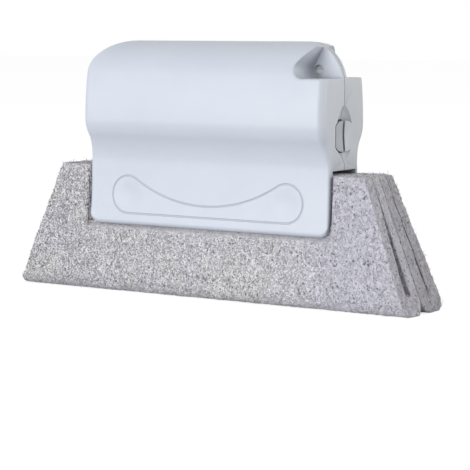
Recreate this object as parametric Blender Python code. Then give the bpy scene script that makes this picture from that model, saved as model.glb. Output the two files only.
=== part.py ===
"""Gap cleaning brush: a palm grip that opens like a clam and holds two folded scouring pads.

Units are metres, +Z is up, +X runs along the brush and the front looks along -Y.
The origin is on the surface that the brush stands on, under the middle of the grip.
"""

import math

import bpy
import bmesh
from mathutils import Matrix, Vector

MM = 0.001

# Grip: overall outline
GRIP_LENGTH = 100.5 * MM
GRIP_TOP = 90.0 * MM
SKIRT_FOOT = 24.1 * MM
TOP_CORNER_RADIUS = 14.3 * MM
FOOT_CORNER_RADIUS = 4.0 * MM

# Grip: half section, from the crest down to the foot of the skirt
CROWN_RADIUS = 13.6 * MM
BELLY_DEPTH = 14.75 * MM
BELLY_HEIGHT = 62.0 * MM
UNDER_BELLY_RADIUS = 10.0 * MM
WAIST_DEPTH = 9.7 * MM
WAIST_HEIGHT = 46.6 * MM
SKIRT_DEPTH = 10.7 * MM
FOOT_ROUND = 1.2 * MM

# Grip: edges, walls and the parting plane
END_EDGE_RADIUS = 2.8 * MM
SKIRT_EDGE_RADIUS = 1.1 * MM
EDGE_BLEND_HEIGHT = 8.0 * MM
CORNER_CROWN = 0.35 * MM
FOOT_CORNER_RISE = 10.0 * MM
WALL = 2.0 * MM
END_WALL = 3.0 * MM
SEAM_GAP = 0.15 * MM
FIT = 0.3 * MM

# Inside of the grip
RIB_COUNT = 4
RIB_PITCH = 19.0 * MM
RIB_END_MARGIN = 12.25 * MM
RIB_THICKNESS = 1.6 * MM
PIN_COUNT = 5
PIN_END_MARGIN = 10.25 * MM
PIN_HEIGHT = 35.0 * MM
PIN_BASE_RADIUS = 1.5 * MM
PIN_TIP_RADIUS = 0.5 * MM
PIN_REACH = 4.2 * MM
PIN_ROOT = 1.0 * MM

# Hanging notch in the top right corner
NOTCH_DEPTH = 12.3 * MM
NOTCH_LENGTH = 12.85 * MM
NOTCH_FLOOR = GRIP_TOP - NOTCH_DEPTH
NOTCH_WALL_X = GRIP_LENGTH / 2 - NOTCH_LENGTH
NOTCH_LEAN = 0.51
NOTCH_CORNER = 3.0 * MM
NOTCH_DRAFT = 2.9 * MM
NOTCH_DRAFT_LEAN = 0.23
NOTCH_DRAFT_CORNER = 0.37 * MM
NOTCH_LIP = 0.8 * MM
WEB_HALF = 1.5 * MM
HANG_HOLE_RADIUS = 1.85 * MM
HANG_HOLE_INSET = 3.6 * MM
HANG_HOLE_RISE = 2.65 * MM
HANG_HOLE_X = NOTCH_WALL_X + HANG_HOLE_INSET
HANG_HOLE_Z = NOTCH_FLOOR + HANG_HOLE_RISE
LEAD_IN_END = 10.5 * MM
LEAD_IN_DRIFT = 2.1 * MM
LEAD_IN_DROP = 0.6 * MM
LEAD_IN_TIP_RADIUS = 0.5 * MM

# Thumb latch in each end wall
SCOOP_HEIGHT = 58.1 * MM
SCOOP_HALF_WIDTH = 5.4 * MM
SCOOP_HALF_HEIGHT = 9.8 * MM
SCOOP_DEPTH = 1.9 * MM
SCOOP_BALL = 2.6 * MM
LAND_DEPTH = 0.4 * MM
LAND_LENGTH = 3.55 * MM
TONGUE_LENGTH = 4.95 * MM
TONGUE_HEIGHT = 10.5 * MM
TONGUE_THICKNESS = 2.8 * MM
TONGUE_SHOULDER = 2.2 * MM
TONGUE_SLIT = 0.65 * MM
NOSE_HEIGHT = 5.0 * MM
NOSE_THICKNESS = 1.4 * MM
NOSE_REACH = 2.1 * MM
NOSE_STEM = 1.6 * MM
NOSE_SET_IN = 0.3 * MM

# Hinge film along the crest
FILM_END_MARGIN = 1.45 * MM
FILM_HALF_LENGTH = GRIP_LENGTH / 2 - TOP_CORNER_RADIUS - FILM_END_MARGIN
FILM_HALF_WIDTH = 1.1 * MM
FILM_THICKNESS = 0.4 * MM

# Smile outline on each skirt
SMILE_END_MARGIN = 16.95 * MM
SMILE_LOBE_X = GRIP_LENGTH / 2 - SMILE_END_MARGIN
SMILE_LOBE_HEIGHT = 35.0 * MM
SMILE_LOBE_RADIUS = 6.7 * MM
SMILE_DIP_HEIGHT = 32.3 * MM
SMILE_GROOVE = 0.35 * MM

# Scouring pads, folded at the bottom
PAD_BOTTOM_LENGTH = 160.0 * MM
PAD_TOP_LENGTH = 127.0 * MM
PAD_HEIGHT = 45.0 * MM
PAD_TOP_DEPTH = 9.4 * MM
PAD_FRONT_DEPTH = 13.0 * MM
PAD_REAR_DEPTH = 14.3 * MM
PAD_FOLD_RISE = 4.5 * MM
PAD_FOOT_CUT = 0.5 * MM
PAD_PLY_GAP = 0.4 * MM
FRONT_CREVICE = 3.4 * MM
REAR_CREVICE = 1.2 * MM
CREVICE_CLOSE_HEIGHT = 39.0 * MM
CREVICE_FLOOR = 6.0 * MM

# How finely the curved forms are cut into flats
FLAT_STEPS = 3
CROWN_STEPS = 7
BELLY_STEPS = 3
UNDER_BELLY_STEPS = 4
WAIST_STEPS = 4
SKIRT_STEPS = 3
FOOT_STEPS = 4
CORNER_STEPS = 8
EDGE_STEPS = 4
NOTCH_STEPS = 5
NOTCH_RUNS = 6
LIP_STEPS = 3
TONGUE_STEPS = 4
LOBE_STEPS = 12
DIP_STEPS = 16
FOLD_STEPS = 14
CREVICE_STEPS = 5
BALL_SEGMENTS = 24
BALL_RINGS = 14
HOLE_SIDES = 20
PIN_SIDES = 12
LEAST_STATION_STEP = 0.15 * MM
SHARP_ANGLE = math.radians(32)
WELD = 0.001 * MM
OVERSHOOT = 4.0 * MM

SHELL_GREY = "dfe3ea"
FILM_GREY = "d9dde4"
PAD_GREY = "b5b3bb"
SHELL_ROUGHNESS = 0.42
FILM_ROUGHNESS = 0.4
WEB_ROUGHNESS = 0.95


def linear_colour(hex_code):
    """Turn an sRGB hex colour into linear values with an alpha of one."""
    channels = [int(hex_code[i:i + 2], 16) / 255 for i in (0, 2, 4)]
    low_limit = 0.04045
    linear = [c / 12.92 if c <= low_limit else ((c + 0.055) / 1.055) ** 2.4 for c in channels]
    return (*linear, 1.0)


def make_material(name, hex_code, roughness):
    """A Principled material in one colour."""
    material = bpy.data.materials.new(name)
    material.use_nodes = True
    shader = material.node_tree.nodes["Principled BSDF"]
    shader.inputs["Base Color"].default_value = linear_colour(hex_code)
    shader.inputs["Roughness"].default_value = roughness
    shader.inputs["Metallic"].default_value = 0.0
    return material


def clear_scene():
    """Remove every object that the file opened with."""
    for old in list(bpy.data.objects):
        bpy.data.objects.remove(old, do_unlink=True)


def new_collection(name):
    """A fresh collection under the scene."""
    collection = bpy.data.collections.new(name)
    bpy.context.scene.collection.children.link(collection)
    return collection


def object_from_bmesh(name, bm, collection):
    """Weld, orient and store a bmesh as an object."""
    bmesh.ops.remove_doubles(bm, verts=bm.verts, dist=WELD)
    bmesh.ops.recalc_face_normals(bm, faces=bm.faces)
    mesh = bpy.data.meshes.new(name)
    bm.to_mesh(mesh)
    bm.free()
    made = bpy.data.objects.new(name, mesh)
    collection.objects.link(made)
    return made


def adopt(made, name, collection):
    """Name an object that an operator made and move it to a collection."""
    made.name = name
    made.data.name = name
    for holder in list(made.users_collection):
        holder.objects.unlink(made)
    collection.objects.link(made)
    return made


def mesh_of_curve(curve_object, name, collection):
    """Swap a curve object for a mesh object with welded caps."""
    graph = bpy.context.evaluated_depsgraph_get()
    graph.update()
    mesh = bpy.data.meshes.new_from_object(curve_object.evaluated_get(graph))
    mesh.name = name
    bm = bmesh.new()
    bm.from_mesh(mesh)
    bmesh.ops.remove_doubles(bm, verts=bm.verts, dist=WELD)
    bmesh.ops.recalc_face_normals(bm, faces=bm.faces)
    bm.to_mesh(mesh)
    bm.free()
    made = bpy.data.objects.new(name, mesh)
    made.matrix_world = curve_object.matrix_world.copy()
    collection.objects.link(made)
    bpy.data.objects.remove(curve_object, do_unlink=True)
    return made


def spline_curve(name, points, collection, cyclic=True):
    """A curve object with one straight-sided spline."""
    curve = bpy.data.curves.new(name, "CURVE")
    spline = curve.splines.new("POLY")
    spline.points.add(len(points) - 1)
    for slot, point in zip(spline.points, points):
        slot.co = (*point, 1.0)
    spline.use_cyclic_u = cyclic
    made = bpy.data.objects.new(name, curve)
    collection.objects.link(made)
    return made


# The two ways in which a flat outline stands in the model.
ALONG_X = Matrix(((0, 0, 1, 0), (1, 0, 0, 0), (0, 1, 0, 0), (0, 0, 0, 1)))
ALONG_Y = Matrix(((1, 0, 0, 0), (0, 0, -1, 0), (0, 1, 0, 0), (0, 0, 0, 1)))


def prism(name, outline, low, high, stance, collection):
    """Fill a flat outline and extrude it between two places along its own axis."""
    made = spline_curve(name + "_outline", [(a, b, 0.0) for a, b in outline], collection)
    made.data.dimensions = "2D"
    made.data.fill_mode = "BOTH"
    made.data.extrude = (high - low) / 2
    middle = stance @ Matrix.Translation((0.0, 0.0, (low + high) / 2))
    made.matrix_world = middle
    bpy.context.view_layer.update()
    return mesh_of_curve(made, name, collection)


def along_y(name, outline, low, high, collection):
    """A prism of a front-view outline (x, z), between two places along Y."""
    return prism(name, outline, -high, -low, ALONG_Y, collection)


def along_x(name, outline, low, high, collection):
    """A prism of an end-view outline (y, z), between two places along X."""
    return prism(name, outline, low, high, ALONG_X, collection)


def box(name, low, high, collection):
    """A box between two corners."""
    bm = bmesh.new()
    bmesh.ops.create_cube(bm, size=1.0)
    size = Vector(high) - Vector(low)
    middle = (Vector(high) + Vector(low)) / 2
    bmesh.ops.transform(bm, matrix=Matrix.Translation(middle) @ Matrix.Diagonal((*size, 1.0)),
                        verts=bm.verts)
    return object_from_bmesh(name, bm, collection)


def as_cutter(tool):
    """Mark an object as a tool that is not part of the product."""
    tool.hide_render = True
    tool.display_type = "WIRE"
    return tool


def boolean(target, tool, operation):
    """Cut or join a tool with an exact Boolean modifier. The tool moves with its target."""
    modifier = target.modifiers.new(tool.name, "BOOLEAN")
    modifier.operation = operation
    modifier.solver = "EXACT"
    modifier.object = as_cutter(tool)
    tool.parent = target
    tool.matrix_parent_inverse = target.matrix_world.inverted()


def arc(centre, radius, start, stop, steps, hollow=False):
    """Points and outward normals along an arc, from one normal angle to another."""
    made = []
    for i in range(steps + 1):
        angle = start + (stop - start) * i / steps
        normal = Vector((math.cos(angle), math.sin(angle)))
        reach = -radius if hollow else radius
        made.append((Vector(centre) + reach * normal, normal))
    return made


def grip_arcs():
    """The centres, radii and turns of the tangent arcs that make the half section."""
    crown_centre = GRIP_TOP - CROWN_RADIUS
    rise = crown_centre - BELLY_HEIGHT
    belly_radius = (BELLY_DEPTH ** 2 + rise ** 2 - CROWN_RADIUS ** 2) / (2 * (BELLY_DEPTH - CROWN_RADIUS))
    bend = 2 * math.atan((BELLY_DEPTH - WAIST_DEPTH) / (BELLY_HEIGHT - WAIST_HEIGHT))
    fall = WAIST_HEIGHT - SKIRT_FOOT - FOOT_ROUND
    flare = 2 * math.atan((SKIRT_DEPTH - WAIST_DEPTH) / fall)
    return {
        "crown_centre": crown_centre,
        "belly_radius": belly_radius,
        "meet": math.atan2(rise, belly_radius - BELLY_DEPTH),
        "bend": bend,
        "waist_radius": (BELLY_HEIGHT - WAIST_HEIGHT) / math.sin(bend) - UNDER_BELLY_RADIUS,
        "flare": flare,
        "skirt_radius": fall / math.sin(flare),
    }


def upper_profile(inset, limit):
    """The crest and belly on a face set inwards, cut by a height limit, as (depth, height) points.

    The first points share the stretch that the limit cuts off, so the corner's round and the
    crown meet along one row of points.
    """
    arcs = grip_arcs()
    crown = CROWN_RADIUS - inset
    belly = arcs["belly_radius"] - inset
    belly_centre = (BELLY_DEPTH - arcs["belly_radius"], BELLY_HEIGHT)
    crown_centre = (0.0, arcs["crown_centre"])
    highest = math.acos(SEAM_GAP / crown)
    if limit >= crown_centre[1] + crown * math.sin(arcs["meet"]):
        cut = min(math.asin(min((limit - crown_centre[1]) / crown, 1.0)), highest)
        kept = arc(crown_centre, crown, cut, arcs["meet"], CROWN_STEPS)
        kept += arc(belly_centre, belly, arcs["meet"], 0.0, BELLY_STEPS)[1:]
    else:
        cut = math.asin((limit - BELLY_HEIGHT) / belly)
        kept = arc(belly_centre, belly, cut, 0.0, CROWN_STEPS + BELLY_STEPS)
    edge = kept[0][0].x
    points = []
    for i in range(FLAT_STEPS):
        depth = SEAM_GAP + (edge - SEAM_GAP) * i / FLAT_STEPS
        reach = math.sqrt(max(crown ** 2 - depth ** 2, 0.0))
        points.append(Vector((depth, crown_centre[1] + reach)))
    return points + [point for point, normal in kept]


def lower_profile():
    """The section from the belly down to the skirt's foot, as points with outward normals."""
    arcs = grip_arcs()
    points = arc((BELLY_DEPTH - UNDER_BELLY_RADIUS, BELLY_HEIGHT), UNDER_BELLY_RADIUS,
                 0.0, -arcs["bend"], UNDER_BELLY_STEPS)[1:]
    points += arc((WAIST_DEPTH + arcs["waist_radius"], WAIST_HEIGHT), arcs["waist_radius"],
                  -arcs["bend"], 0.0, WAIST_STEPS, hollow=True)[1:]
    points += arc((WAIST_DEPTH + arcs["skirt_radius"], WAIST_HEIGHT), arcs["skirt_radius"],
                  0.0, arcs["flare"], SKIRT_STEPS, hollow=True)[1:]
    return points


def foot_profile():
    """The rounded foot that ends the skirt's outer face."""
    last, normal = lower_profile()[-1]
    start = math.atan2(normal.y, normal.x)
    return arc(last - FOOT_ROUND * normal, FOOT_ROUND, start, -math.pi / 2, FOOT_STEPS)[1:]


def depth_at(height, inset=0.0):
    """The half section's depth at a height, on its outer face or on a face inset from it."""
    points = [p - inset * n for p, n in lower_profile()]
    for upper, lower in zip(points, points[1:]):
        if lower.y <= height <= upper.y:
            share = (height - lower.y) / (upper.y - lower.y)
            return lower.x + share * (upper.x - lower.x)
    return points[-1].x


def arc_drop(radius, from_end):
    """How far a quarter round has fallen at a distance from the end that it meets."""
    if from_end >= radius:
        return 0.0
    return radius - math.sqrt(max(radius ** 2 - (radius - from_end) ** 2, 0.0))


def soft_minimum(a, b, width):
    """The lower of two values, blended where they lie close together."""
    if width <= 0.0:
        return min(a, b)
    return min(a, b) - max(width - abs(a - b), 0.0) ** 2 / (4 * width)


def corner_limit(top, corner, from_end, depth):
    """How high a section may rise near its end: a quarter round, slightly crowned across."""
    sag = CORNER_CROWN * (depth / BELLY_DEPTH) ** 2
    drop = arc_drop(corner, from_end)
    return top - drop - sag * drop / corner


def edge_radius_at(height):
    """The end edge's radius: full on the body, small on the thin skirt."""
    share = (height - WAIST_HEIGHT) / EDGE_BLEND_HEIGHT
    share = min(max(share, 0.0), 1.0)
    return SKIRT_EDGE_RADIUS + share * (END_EDGE_RADIUS - SKIRT_EDGE_RADIUS)


def end_stations(half_length, corner):
    """Distances from an end wall at which the section changes, nearest first."""
    marks = {0.0}
    for radius, steps in ((corner, CORNER_STEPS), (END_EDGE_RADIUS, EDGE_STEPS),
                          (SKIRT_EDGE_RADIUS, 2), (FOOT_CORNER_RADIUS, EDGE_STEPS)):
        for i in range(1, steps + 1):
            marks.add(radius * (1 - math.cos(math.pi / 2 * i / steps)))
    kept = [0.0]
    for mark in sorted(marks):
        if mark - kept[-1] > LEAST_STATION_STEP and mark < half_length:
            kept.append(mark)
    return kept


def outer_section(from_end, side):
    """The grip's outer section at a distance from its end, as a closed ring of (y, z)."""
    drop = arc_drop(TOP_CORNER_RADIUS, from_end)
    blend = END_EDGE_RADIUS * drop / TOP_CORNER_RADIUS
    lift = arc_drop(FOOT_CORNER_RADIUS, from_end)
    ring = []
    for place in upper_profile(arc_drop(END_EDGE_RADIUS, from_end), GRIP_TOP - drop):
        limit = corner_limit(GRIP_TOP, TOP_CORNER_RADIUS, from_end, place.x)
        ring.append((side * place.x, soft_minimum(place.y, limit, blend)))
    for point, normal in lower_profile() + foot_profile():
        place = point - arc_drop(edge_radius_at(point.y), from_end) * normal
        share = min(max(1 - (place.y - SKIRT_FOOT) / FOOT_CORNER_RISE, 0.0), 1.0)
        ring.append((side * place.x, place.y + lift * share))
    ring.append((side * SEAM_GAP, ring[-1][1]))
    return ring


def inner_section(from_end, side):
    """The hollow's section at a distance from its own end, open past the seam and the foot."""
    corner = TOP_CORNER_RADIUS - END_WALL
    top = GRIP_TOP - WALL
    ring = [(-side * OVERSHOOT, corner_limit(top, corner, from_end, OVERSHOOT))]
    for place in upper_profile(WALL, top - arc_drop(corner, from_end)):
        ring.append((side * place.x, min(place.y, corner_limit(top, corner, from_end, place.x))))
    for point, normal in lower_profile():
        place = point - WALL * normal
        ring.append((side * place.x, place.y))
    ring.append((ring[-1][0], SKIRT_FOOT - OVERSHOOT))
    ring.append((-side * OVERSHOOT, SKIRT_FOOT - OVERSHOOT))
    return ring


def skin_rings(name, rings, collection):
    """Skin a row of like rings of points, and cap the first and the last."""
    bm = bmesh.new()
    corners = [[bm.verts.new(place) for place in ring] for ring in rings]
    for near, far in zip(corners, corners[1:]):
        for i in range(len(near)):
            j = (i + 1) % len(near)
            bm.faces.new((near[i], near[j], far[j], far[i]))
    bm.faces.new(corners[0])
    bm.faces.new(corners[-1])
    bm.normal_update()
    bmesh.ops.triangulate(bm, faces=bm.faces)
    return object_from_bmesh(name, bm, collection)


def loft(name, stations, section, collection):
    """Skin sections (y, z) that stand across X, one at each station."""
    rings = [[(x, y, z) for y, z in section(x)] for x in stations]
    return skin_rings(name, rings, collection)


def mirrored_stations(half_length, marks):
    """Places along X from one end to the other, from distances to the nearer end."""
    left = [-half_length + mark for mark in marks]
    return left + [-x for x in reversed(left)]


def notch_outline(grow, draft):
    """The hanging notch in front view (x, z), grown outwards by a wall's thickness.

    The draft is 0 at the web and 1 at the grip's widest, where the notch is wider.
    """
    floor = NOTCH_FLOOR - grow
    lean = NOTCH_LEAN + draft * NOTCH_DRAFT_LEAN
    slope = math.atan(lean)
    foot_x = NOTCH_WALL_X - draft * NOTCH_DRAFT - grow / math.cos(slope)
    wall = Vector((math.sin(slope), math.cos(slope)))
    corner = Vector((foot_x + lean * (floor - NOTCH_FLOOR), floor))
    radius = NOTCH_CORNER + draft * NOTCH_DRAFT_CORNER + grow
    reach = radius / math.tan((math.pi / 2 - slope) / 2)
    centre = corner + Vector((reach, radius))
    start = math.pi - slope
    stop = 1.5 * math.pi
    points = [corner + wall * (GRIP_TOP + OVERSHOOT - floor) / wall.y]
    for i in range(NOTCH_STEPS + 1):
        angle = start + (stop - start) * i / NOTCH_STEPS
        points.append(centre + radius * Vector((math.cos(angle), math.sin(angle))))
    right = GRIP_LENGTH / 2 + OVERSHOOT
    points.append(Vector((right, floor)))
    points.append(Vector((right, GRIP_TOP + OVERSHOOT)))
    return [tuple(p) for p in points]


def upper_depth(x, height):
    """The outer face's depth above the belly's widest line, less the end edge's round."""
    arcs = grip_arcs()
    meet_height = arcs["crown_centre"] + CROWN_RADIUS * math.sin(arcs["meet"])
    if height >= meet_height:
        rise = min(height - arcs["crown_centre"], CROWN_RADIUS)
        depth = math.sqrt(CROWN_RADIUS ** 2 - rise ** 2)
    else:
        reach = math.sqrt(arcs["belly_radius"] ** 2 - (height - BELLY_HEIGHT) ** 2)
        depth = BELLY_DEPTH - arcs["belly_radius"] + reach
    return depth - arc_drop(END_EDGE_RADIUS, GRIP_LENGTH / 2 - abs(x))


def notch_ring(grow, draft):
    """The notch's outline with its wall and floor cut into short runs, so that it can follow the skin."""
    outline = [Vector(p) for p in notch_outline(grow, draft)]
    shares = [i / NOTCH_RUNS for i in range(NOTCH_RUNS)]
    wall = [outline[0].lerp(outline[1], share) for share in shares]
    floor = [outline[-2].lerp(outline[-3], share) for share in shares]
    return wall + outline[1:-2] + floor[::-1] + [outline[-1]]


def make_pocket(name, side, collection):
    """The notch's space in one half: drafted out from the web, then flared by a rounded lip.

    The lip is a quadratic curve that leaves the notch's wall one lip below the skin and lands on
    the skin one lip away from the wall.
    """
    edge = notch_ring(0.0, 1.0)
    landing = notch_ring(NOTCH_LIP, 1.0)
    rings = [[(p.x, side * WEB_HALF, p.y) for p in notch_ring(0.0, 0.0)]]
    for i in range(LIP_STEPS + 1):
        t = i / LIP_STEPS
        ring = []
        for near, far in zip(edge, landing):
            skin = upper_depth(near.x, near.y)
            depth = ((1 - t) ** 2 * (skin - NOTCH_LIP) + 2 * t * (1 - t) * skin
                     + t ** 2 * upper_depth(far.x, far.y))
            place = near.lerp(far, t ** 2)
            ring.append((place.x, side * max(depth, WEB_HALF + FIT), place.y))
        rings.append(ring)
    rings.append([(p.x, side * 2 * BELLY_DEPTH, p.y) for p in landing])
    return skin_rings(name, rings, collection)


def lead_in(name, side, collection):
    """The groove that guides a hook into the hanging hole: it narrows away along the notch's corner."""
    start = Vector((HANG_HOLE_X, side * WEB_HALF, HANG_HOLE_Z))
    end = Vector((HANG_HOLE_X - LEAD_IN_DRIFT, side * LEAD_IN_END, HANG_HOLE_Z - LEAD_IN_DROP))
    bpy.ops.mesh.primitive_cone_add(
        vertices=HOLE_SIDES, radius1=HANG_HOLE_RADIUS, radius2=LEAD_IN_TIP_RADIUS,
        depth=(end - start).length, location=(start + end) / 2,
        rotation=(end - start).to_track_quat("Z", "X").to_euler())
    return adopt(bpy.context.object, name, collection)


def smile_path(side):
    """The smile outline on a skirt's face: two lobes, a line below and one hollow arc above."""
    drop = SMILE_DIP_HEIGHT - SMILE_LOBE_HEIGHT
    top_radius = (SMILE_LOBE_X ** 2 + drop ** 2 - SMILE_LOBE_RADIUS ** 2) / (2 * (SMILE_LOBE_RADIUS - drop))
    meet = math.atan2(SMILE_LOBE_X, drop + top_radius)
    flat = []
    for i in range(LOBE_STEPS + 1):
        angle = -math.pi / 2 + (math.pi + meet) * i / LOBE_STEPS
        flat.append((SMILE_LOBE_X + SMILE_LOBE_RADIUS * math.cos(angle),
                     SMILE_LOBE_HEIGHT + SMILE_LOBE_RADIUS * math.sin(angle)))
    for i in range(1, DIP_STEPS):
        angle = meet * (1 - 2 * i / DIP_STEPS)
        flat.append((top_radius * math.sin(angle),
                     SMILE_DIP_HEIGHT + top_radius * (1 - math.cos(angle))))
    flat += [(-x, z) for x, z in reversed(flat[:LOBE_STEPS + 1])]
    return [(x, side * depth_at(z), z) for x, z in flat]


def scoop_ball(name, end, depth, collection):
    """The squashed ball that dishes an end wall, to a depth below the wall's face."""
    share = math.sqrt(1 - (1 - SCOOP_DEPTH / SCOOP_BALL) ** 2)
    bm = bmesh.new()
    bmesh.ops.create_uvsphere(bm, u_segments=BALL_SEGMENTS, v_segments=BALL_RINGS, radius=1.0)
    size = (SCOOP_BALL, SCOOP_HALF_WIDTH / share, SCOOP_HALF_HEIGHT / share, 1.0)
    place = Matrix.Translation((end * (GRIP_LENGTH / 2 + SCOOP_BALL - depth), 0.0, SCOOP_HEIGHT))
    bmesh.ops.transform(bm, matrix=place @ Matrix.Diagonal(size), verts=bm.verts)
    return object_from_bmesh(name, bm, collection)


def shoulder_outline(free, length, grow):
    """A D in end view (y, z): straight at the seam, with shoulders that are quarter ellipses.

    The length is negative where the D points to the front.
    """
    reach = length + math.copysign(grow, length)
    rise = TONGUE_SHOULDER + grow
    shoulder = TONGUE_HEIGHT / 2 - TONGUE_SHOULDER
    upper = []
    for i in range(TONGUE_STEPS + 1):
        angle = math.pi / 2 * i / TONGUE_STEPS
        upper.append((free + reach * math.sin(angle), shoulder + rise * math.cos(angle)))
    lower = [(y, -z) for y, z in reversed(upper)]
    return [(y, SCOOP_HEIGHT + z) for y, z in upper + lower]


def tongue_outline():
    """The latch tongue in end view."""
    return shoulder_outline(-TONGUE_SLIT, -TONGUE_LENGTH, 0.0)


def window_outline():
    """The tongue's slot in end view, open past the seam."""
    ring = shoulder_outline(-TONGUE_SLIT, -TONGUE_LENGTH, FIT)
    return [(OVERSHOOT, ring[-1][1]), (OVERSHOOT, ring[0][1])] + ring


def land_outline():
    """The rear shell's land beside the tongue in end view, open past the seam."""
    ring = shoulder_outline(TONGUE_SLIT, LAND_LENGTH, 0.0)
    return [(-OVERSHOOT, ring[-1][1]), (-OVERSHOOT, ring[0][1])] + ring


def pin_stations():
    """Places along X of the retention pins, evenly spread between the ends."""
    reach = GRIP_LENGTH / 2 - PIN_END_MARGIN
    return [reach * (2 * i / (PIN_COUNT - 1) - 1) for i in range(PIN_COUNT)]


def rib_stations():
    """Places along X of the ribs, counted from the end without the notch."""
    first = RIB_END_MARGIN - GRIP_LENGTH / 2
    return [first + RIB_PITCH * i for i in range(RIB_COUNT)]


def pin_cone(name, x, side, grow, collection):
    """A retention pin on a skirt's inner face, pointing at the seam."""
    base = depth_at(PIN_HEIGHT, WALL) + PIN_ROOT
    length = PIN_REACH + PIN_ROOT + grow
    bpy.ops.mesh.primitive_cone_add(vertices=PIN_SIDES, radius1=PIN_BASE_RADIUS + grow,
                                    radius2=PIN_TIP_RADIUS + grow, depth=length,
                                    location=(x, side * (base - length / 2), PIN_HEIGHT),
                                    rotation=(side * math.pi / 2, 0.0, 0.0))
    return adopt(bpy.context.object, name, collection)


def rib_space(name, x, side, collection):
    """The slab that the hollow leaves standing as a rib, short of the seam and the pads."""
    near = side * (SEAM_GAP + FIT)
    far = side * 2 * BELLY_DEPTH
    return box(name, (x - RIB_THICKNESS / 2, min(near, far), PAD_HEIGHT + FIT),
               (x + RIB_THICKNESS / 2, max(near, far), GRIP_TOP + OVERSHOOT), collection)


def bay_outline(side):
    """The opening under each end wall that the pads pass through, in end view (y, z)."""
    inner = [point - WALL * normal for point, normal in lower_profile()]
    outline = [(side * place.x, place.y) for place in inner if place.y <= WAIST_HEIGHT + WELD]
    outline.append((outline[-1][0], SKIRT_FOOT - OVERSHOOT))
    outline.append((-side * OVERSHOOT, SKIRT_FOOT - OVERSHOOT))
    outline.append((-side * OVERSHOOT, outline[0][1]))
    return outline


def make_shell(name, side, parts, cutters, material):
    """One half of the grip. The side is -1 for the front and +1 for the rear."""
    half = GRIP_LENGTH / 2
    marks = end_stations(half, TOP_CORNER_RADIUS)
    shell = loft(name, mirrored_stations(half, marks),
                 lambda x: outer_section(half - abs(x), side), parts)

    hollow_half = half - END_WALL
    hollow_marks = end_stations(hollow_half, TOP_CORNER_RADIUS - END_WALL)
    hollow = loft(name + "_hollow", mirrored_stations(hollow_half, hollow_marks),
                  lambda x: inner_section(hollow_half - abs(x), side), cutters)
    notch_wall = along_y(name + "_notch_wall", notch_outline(WALL, 1.0), -half, half, cutters)
    boolean(hollow, notch_wall, "DIFFERENCE")
    for i, x in enumerate(rib_stations()):
        boolean(hollow, rib_space(f"{name}_rib_{i}", x, side, cutters), "DIFFERENCE")
    boolean(shell, hollow, "DIFFERENCE")

    for end, word in ((-1, "left"), (1, "right")):
        span = sorted((end * (hollow_half - FIT), end * (half + OVERSHOOT)))
        boolean(shell, along_x(f"{name}_bay_{word}", bay_outline(side), *span, cutters), "DIFFERENCE")

    for i, x in enumerate(pin_stations()):
        boolean(shell, pin_cone(f"{name}_pin_{i}", x, side, 0.0, cutters), "UNION")

    boolean(shell, make_pocket(name + "_pocket", side, cutters), "DIFFERENCE")
    bpy.ops.mesh.primitive_cylinder_add(
        vertices=HOLE_SIDES, radius=HANG_HOLE_RADIUS, depth=4 * WEB_HALF,
        location=(HANG_HOLE_X, 0.0, HANG_HOLE_Z), rotation=(math.pi / 2, 0.0, 0.0))
    boolean(shell, adopt(bpy.context.object, name + "_hang_hole", cutters), "DIFFERENCE")
    boolean(shell, lead_in(name + "_lead_in", side, cutters), "DIFFERENCE")

    for end, word in ((-1, "left"), (1, "right")):
        scoop = scoop_ball(f"{name}_scoop_{word}", end, SCOOP_DEPTH, cutters)
        through = sorted((end * (hollow_half - OVERSHOOT), end * (half + OVERSHOOT)))
        if side < 0:
            boolean(shell, scoop, "DIFFERENCE")
            boolean(shell, along_x(f"{name}_window_{word}", window_outline(), *through, cutters),
                    "DIFFERENCE")
        else:
            boolean(scoop, along_x(f"{name}_land_{word}", land_outline(), *through, cutters), "DIFFERENCE")
            boolean(shell, scoop, "DIFFERENCE")
            boolean(shell, scoop_ball(f"{name}_land_dish_{word}", end, LAND_DEPTH, cutters), "DIFFERENCE")
            slit_rise = TONGUE_HEIGHT / 2 + FIT
            slit = box(f"{name}_slit_{word}", (through[0], -OVERSHOOT, SCOOP_HEIGHT - slit_rise),
                       (through[1], TONGUE_SLIT, SCOOP_HEIGHT + slit_rise), cutters)
            boolean(shell, slit, "DIFFERENCE")

    groove = spline_curve(name + "_smile_path", smile_path(side), cutters)
    groove.data.dimensions = "3D"
    groove.data.bevel_depth = SMILE_GROOVE
    groove.data.bevel_resolution = 1
    boolean(shell, mesh_of_curve(groove, name + "_smile", cutters), "DIFFERENCE")

    rebate = (FILM_HALF_LENGTH + FIT, FILM_HALF_WIDTH + FIT, GRIP_TOP - FILM_THICKNESS - FIT)
    boolean(shell, box(name + "_film_rebate", (-rebate[0], -rebate[1], rebate[2]),
                       (rebate[0], rebate[1], GRIP_TOP + OVERSHOOT), cutters), "DIFFERENCE")
    shell.data.materials.append(material)
    return shell


def make_film(parts, material):
    """The thin hinge film that joins the two shells along the crest."""
    film = box("hinge_film", (-FILM_HALF_LENGTH, -FILM_HALF_WIDTH, GRIP_TOP - FILM_THICKNESS),
               (FILM_HALF_LENGTH, FILM_HALF_WIDTH, GRIP_TOP), parts)
    film.data.materials.append(material)
    return film


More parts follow.
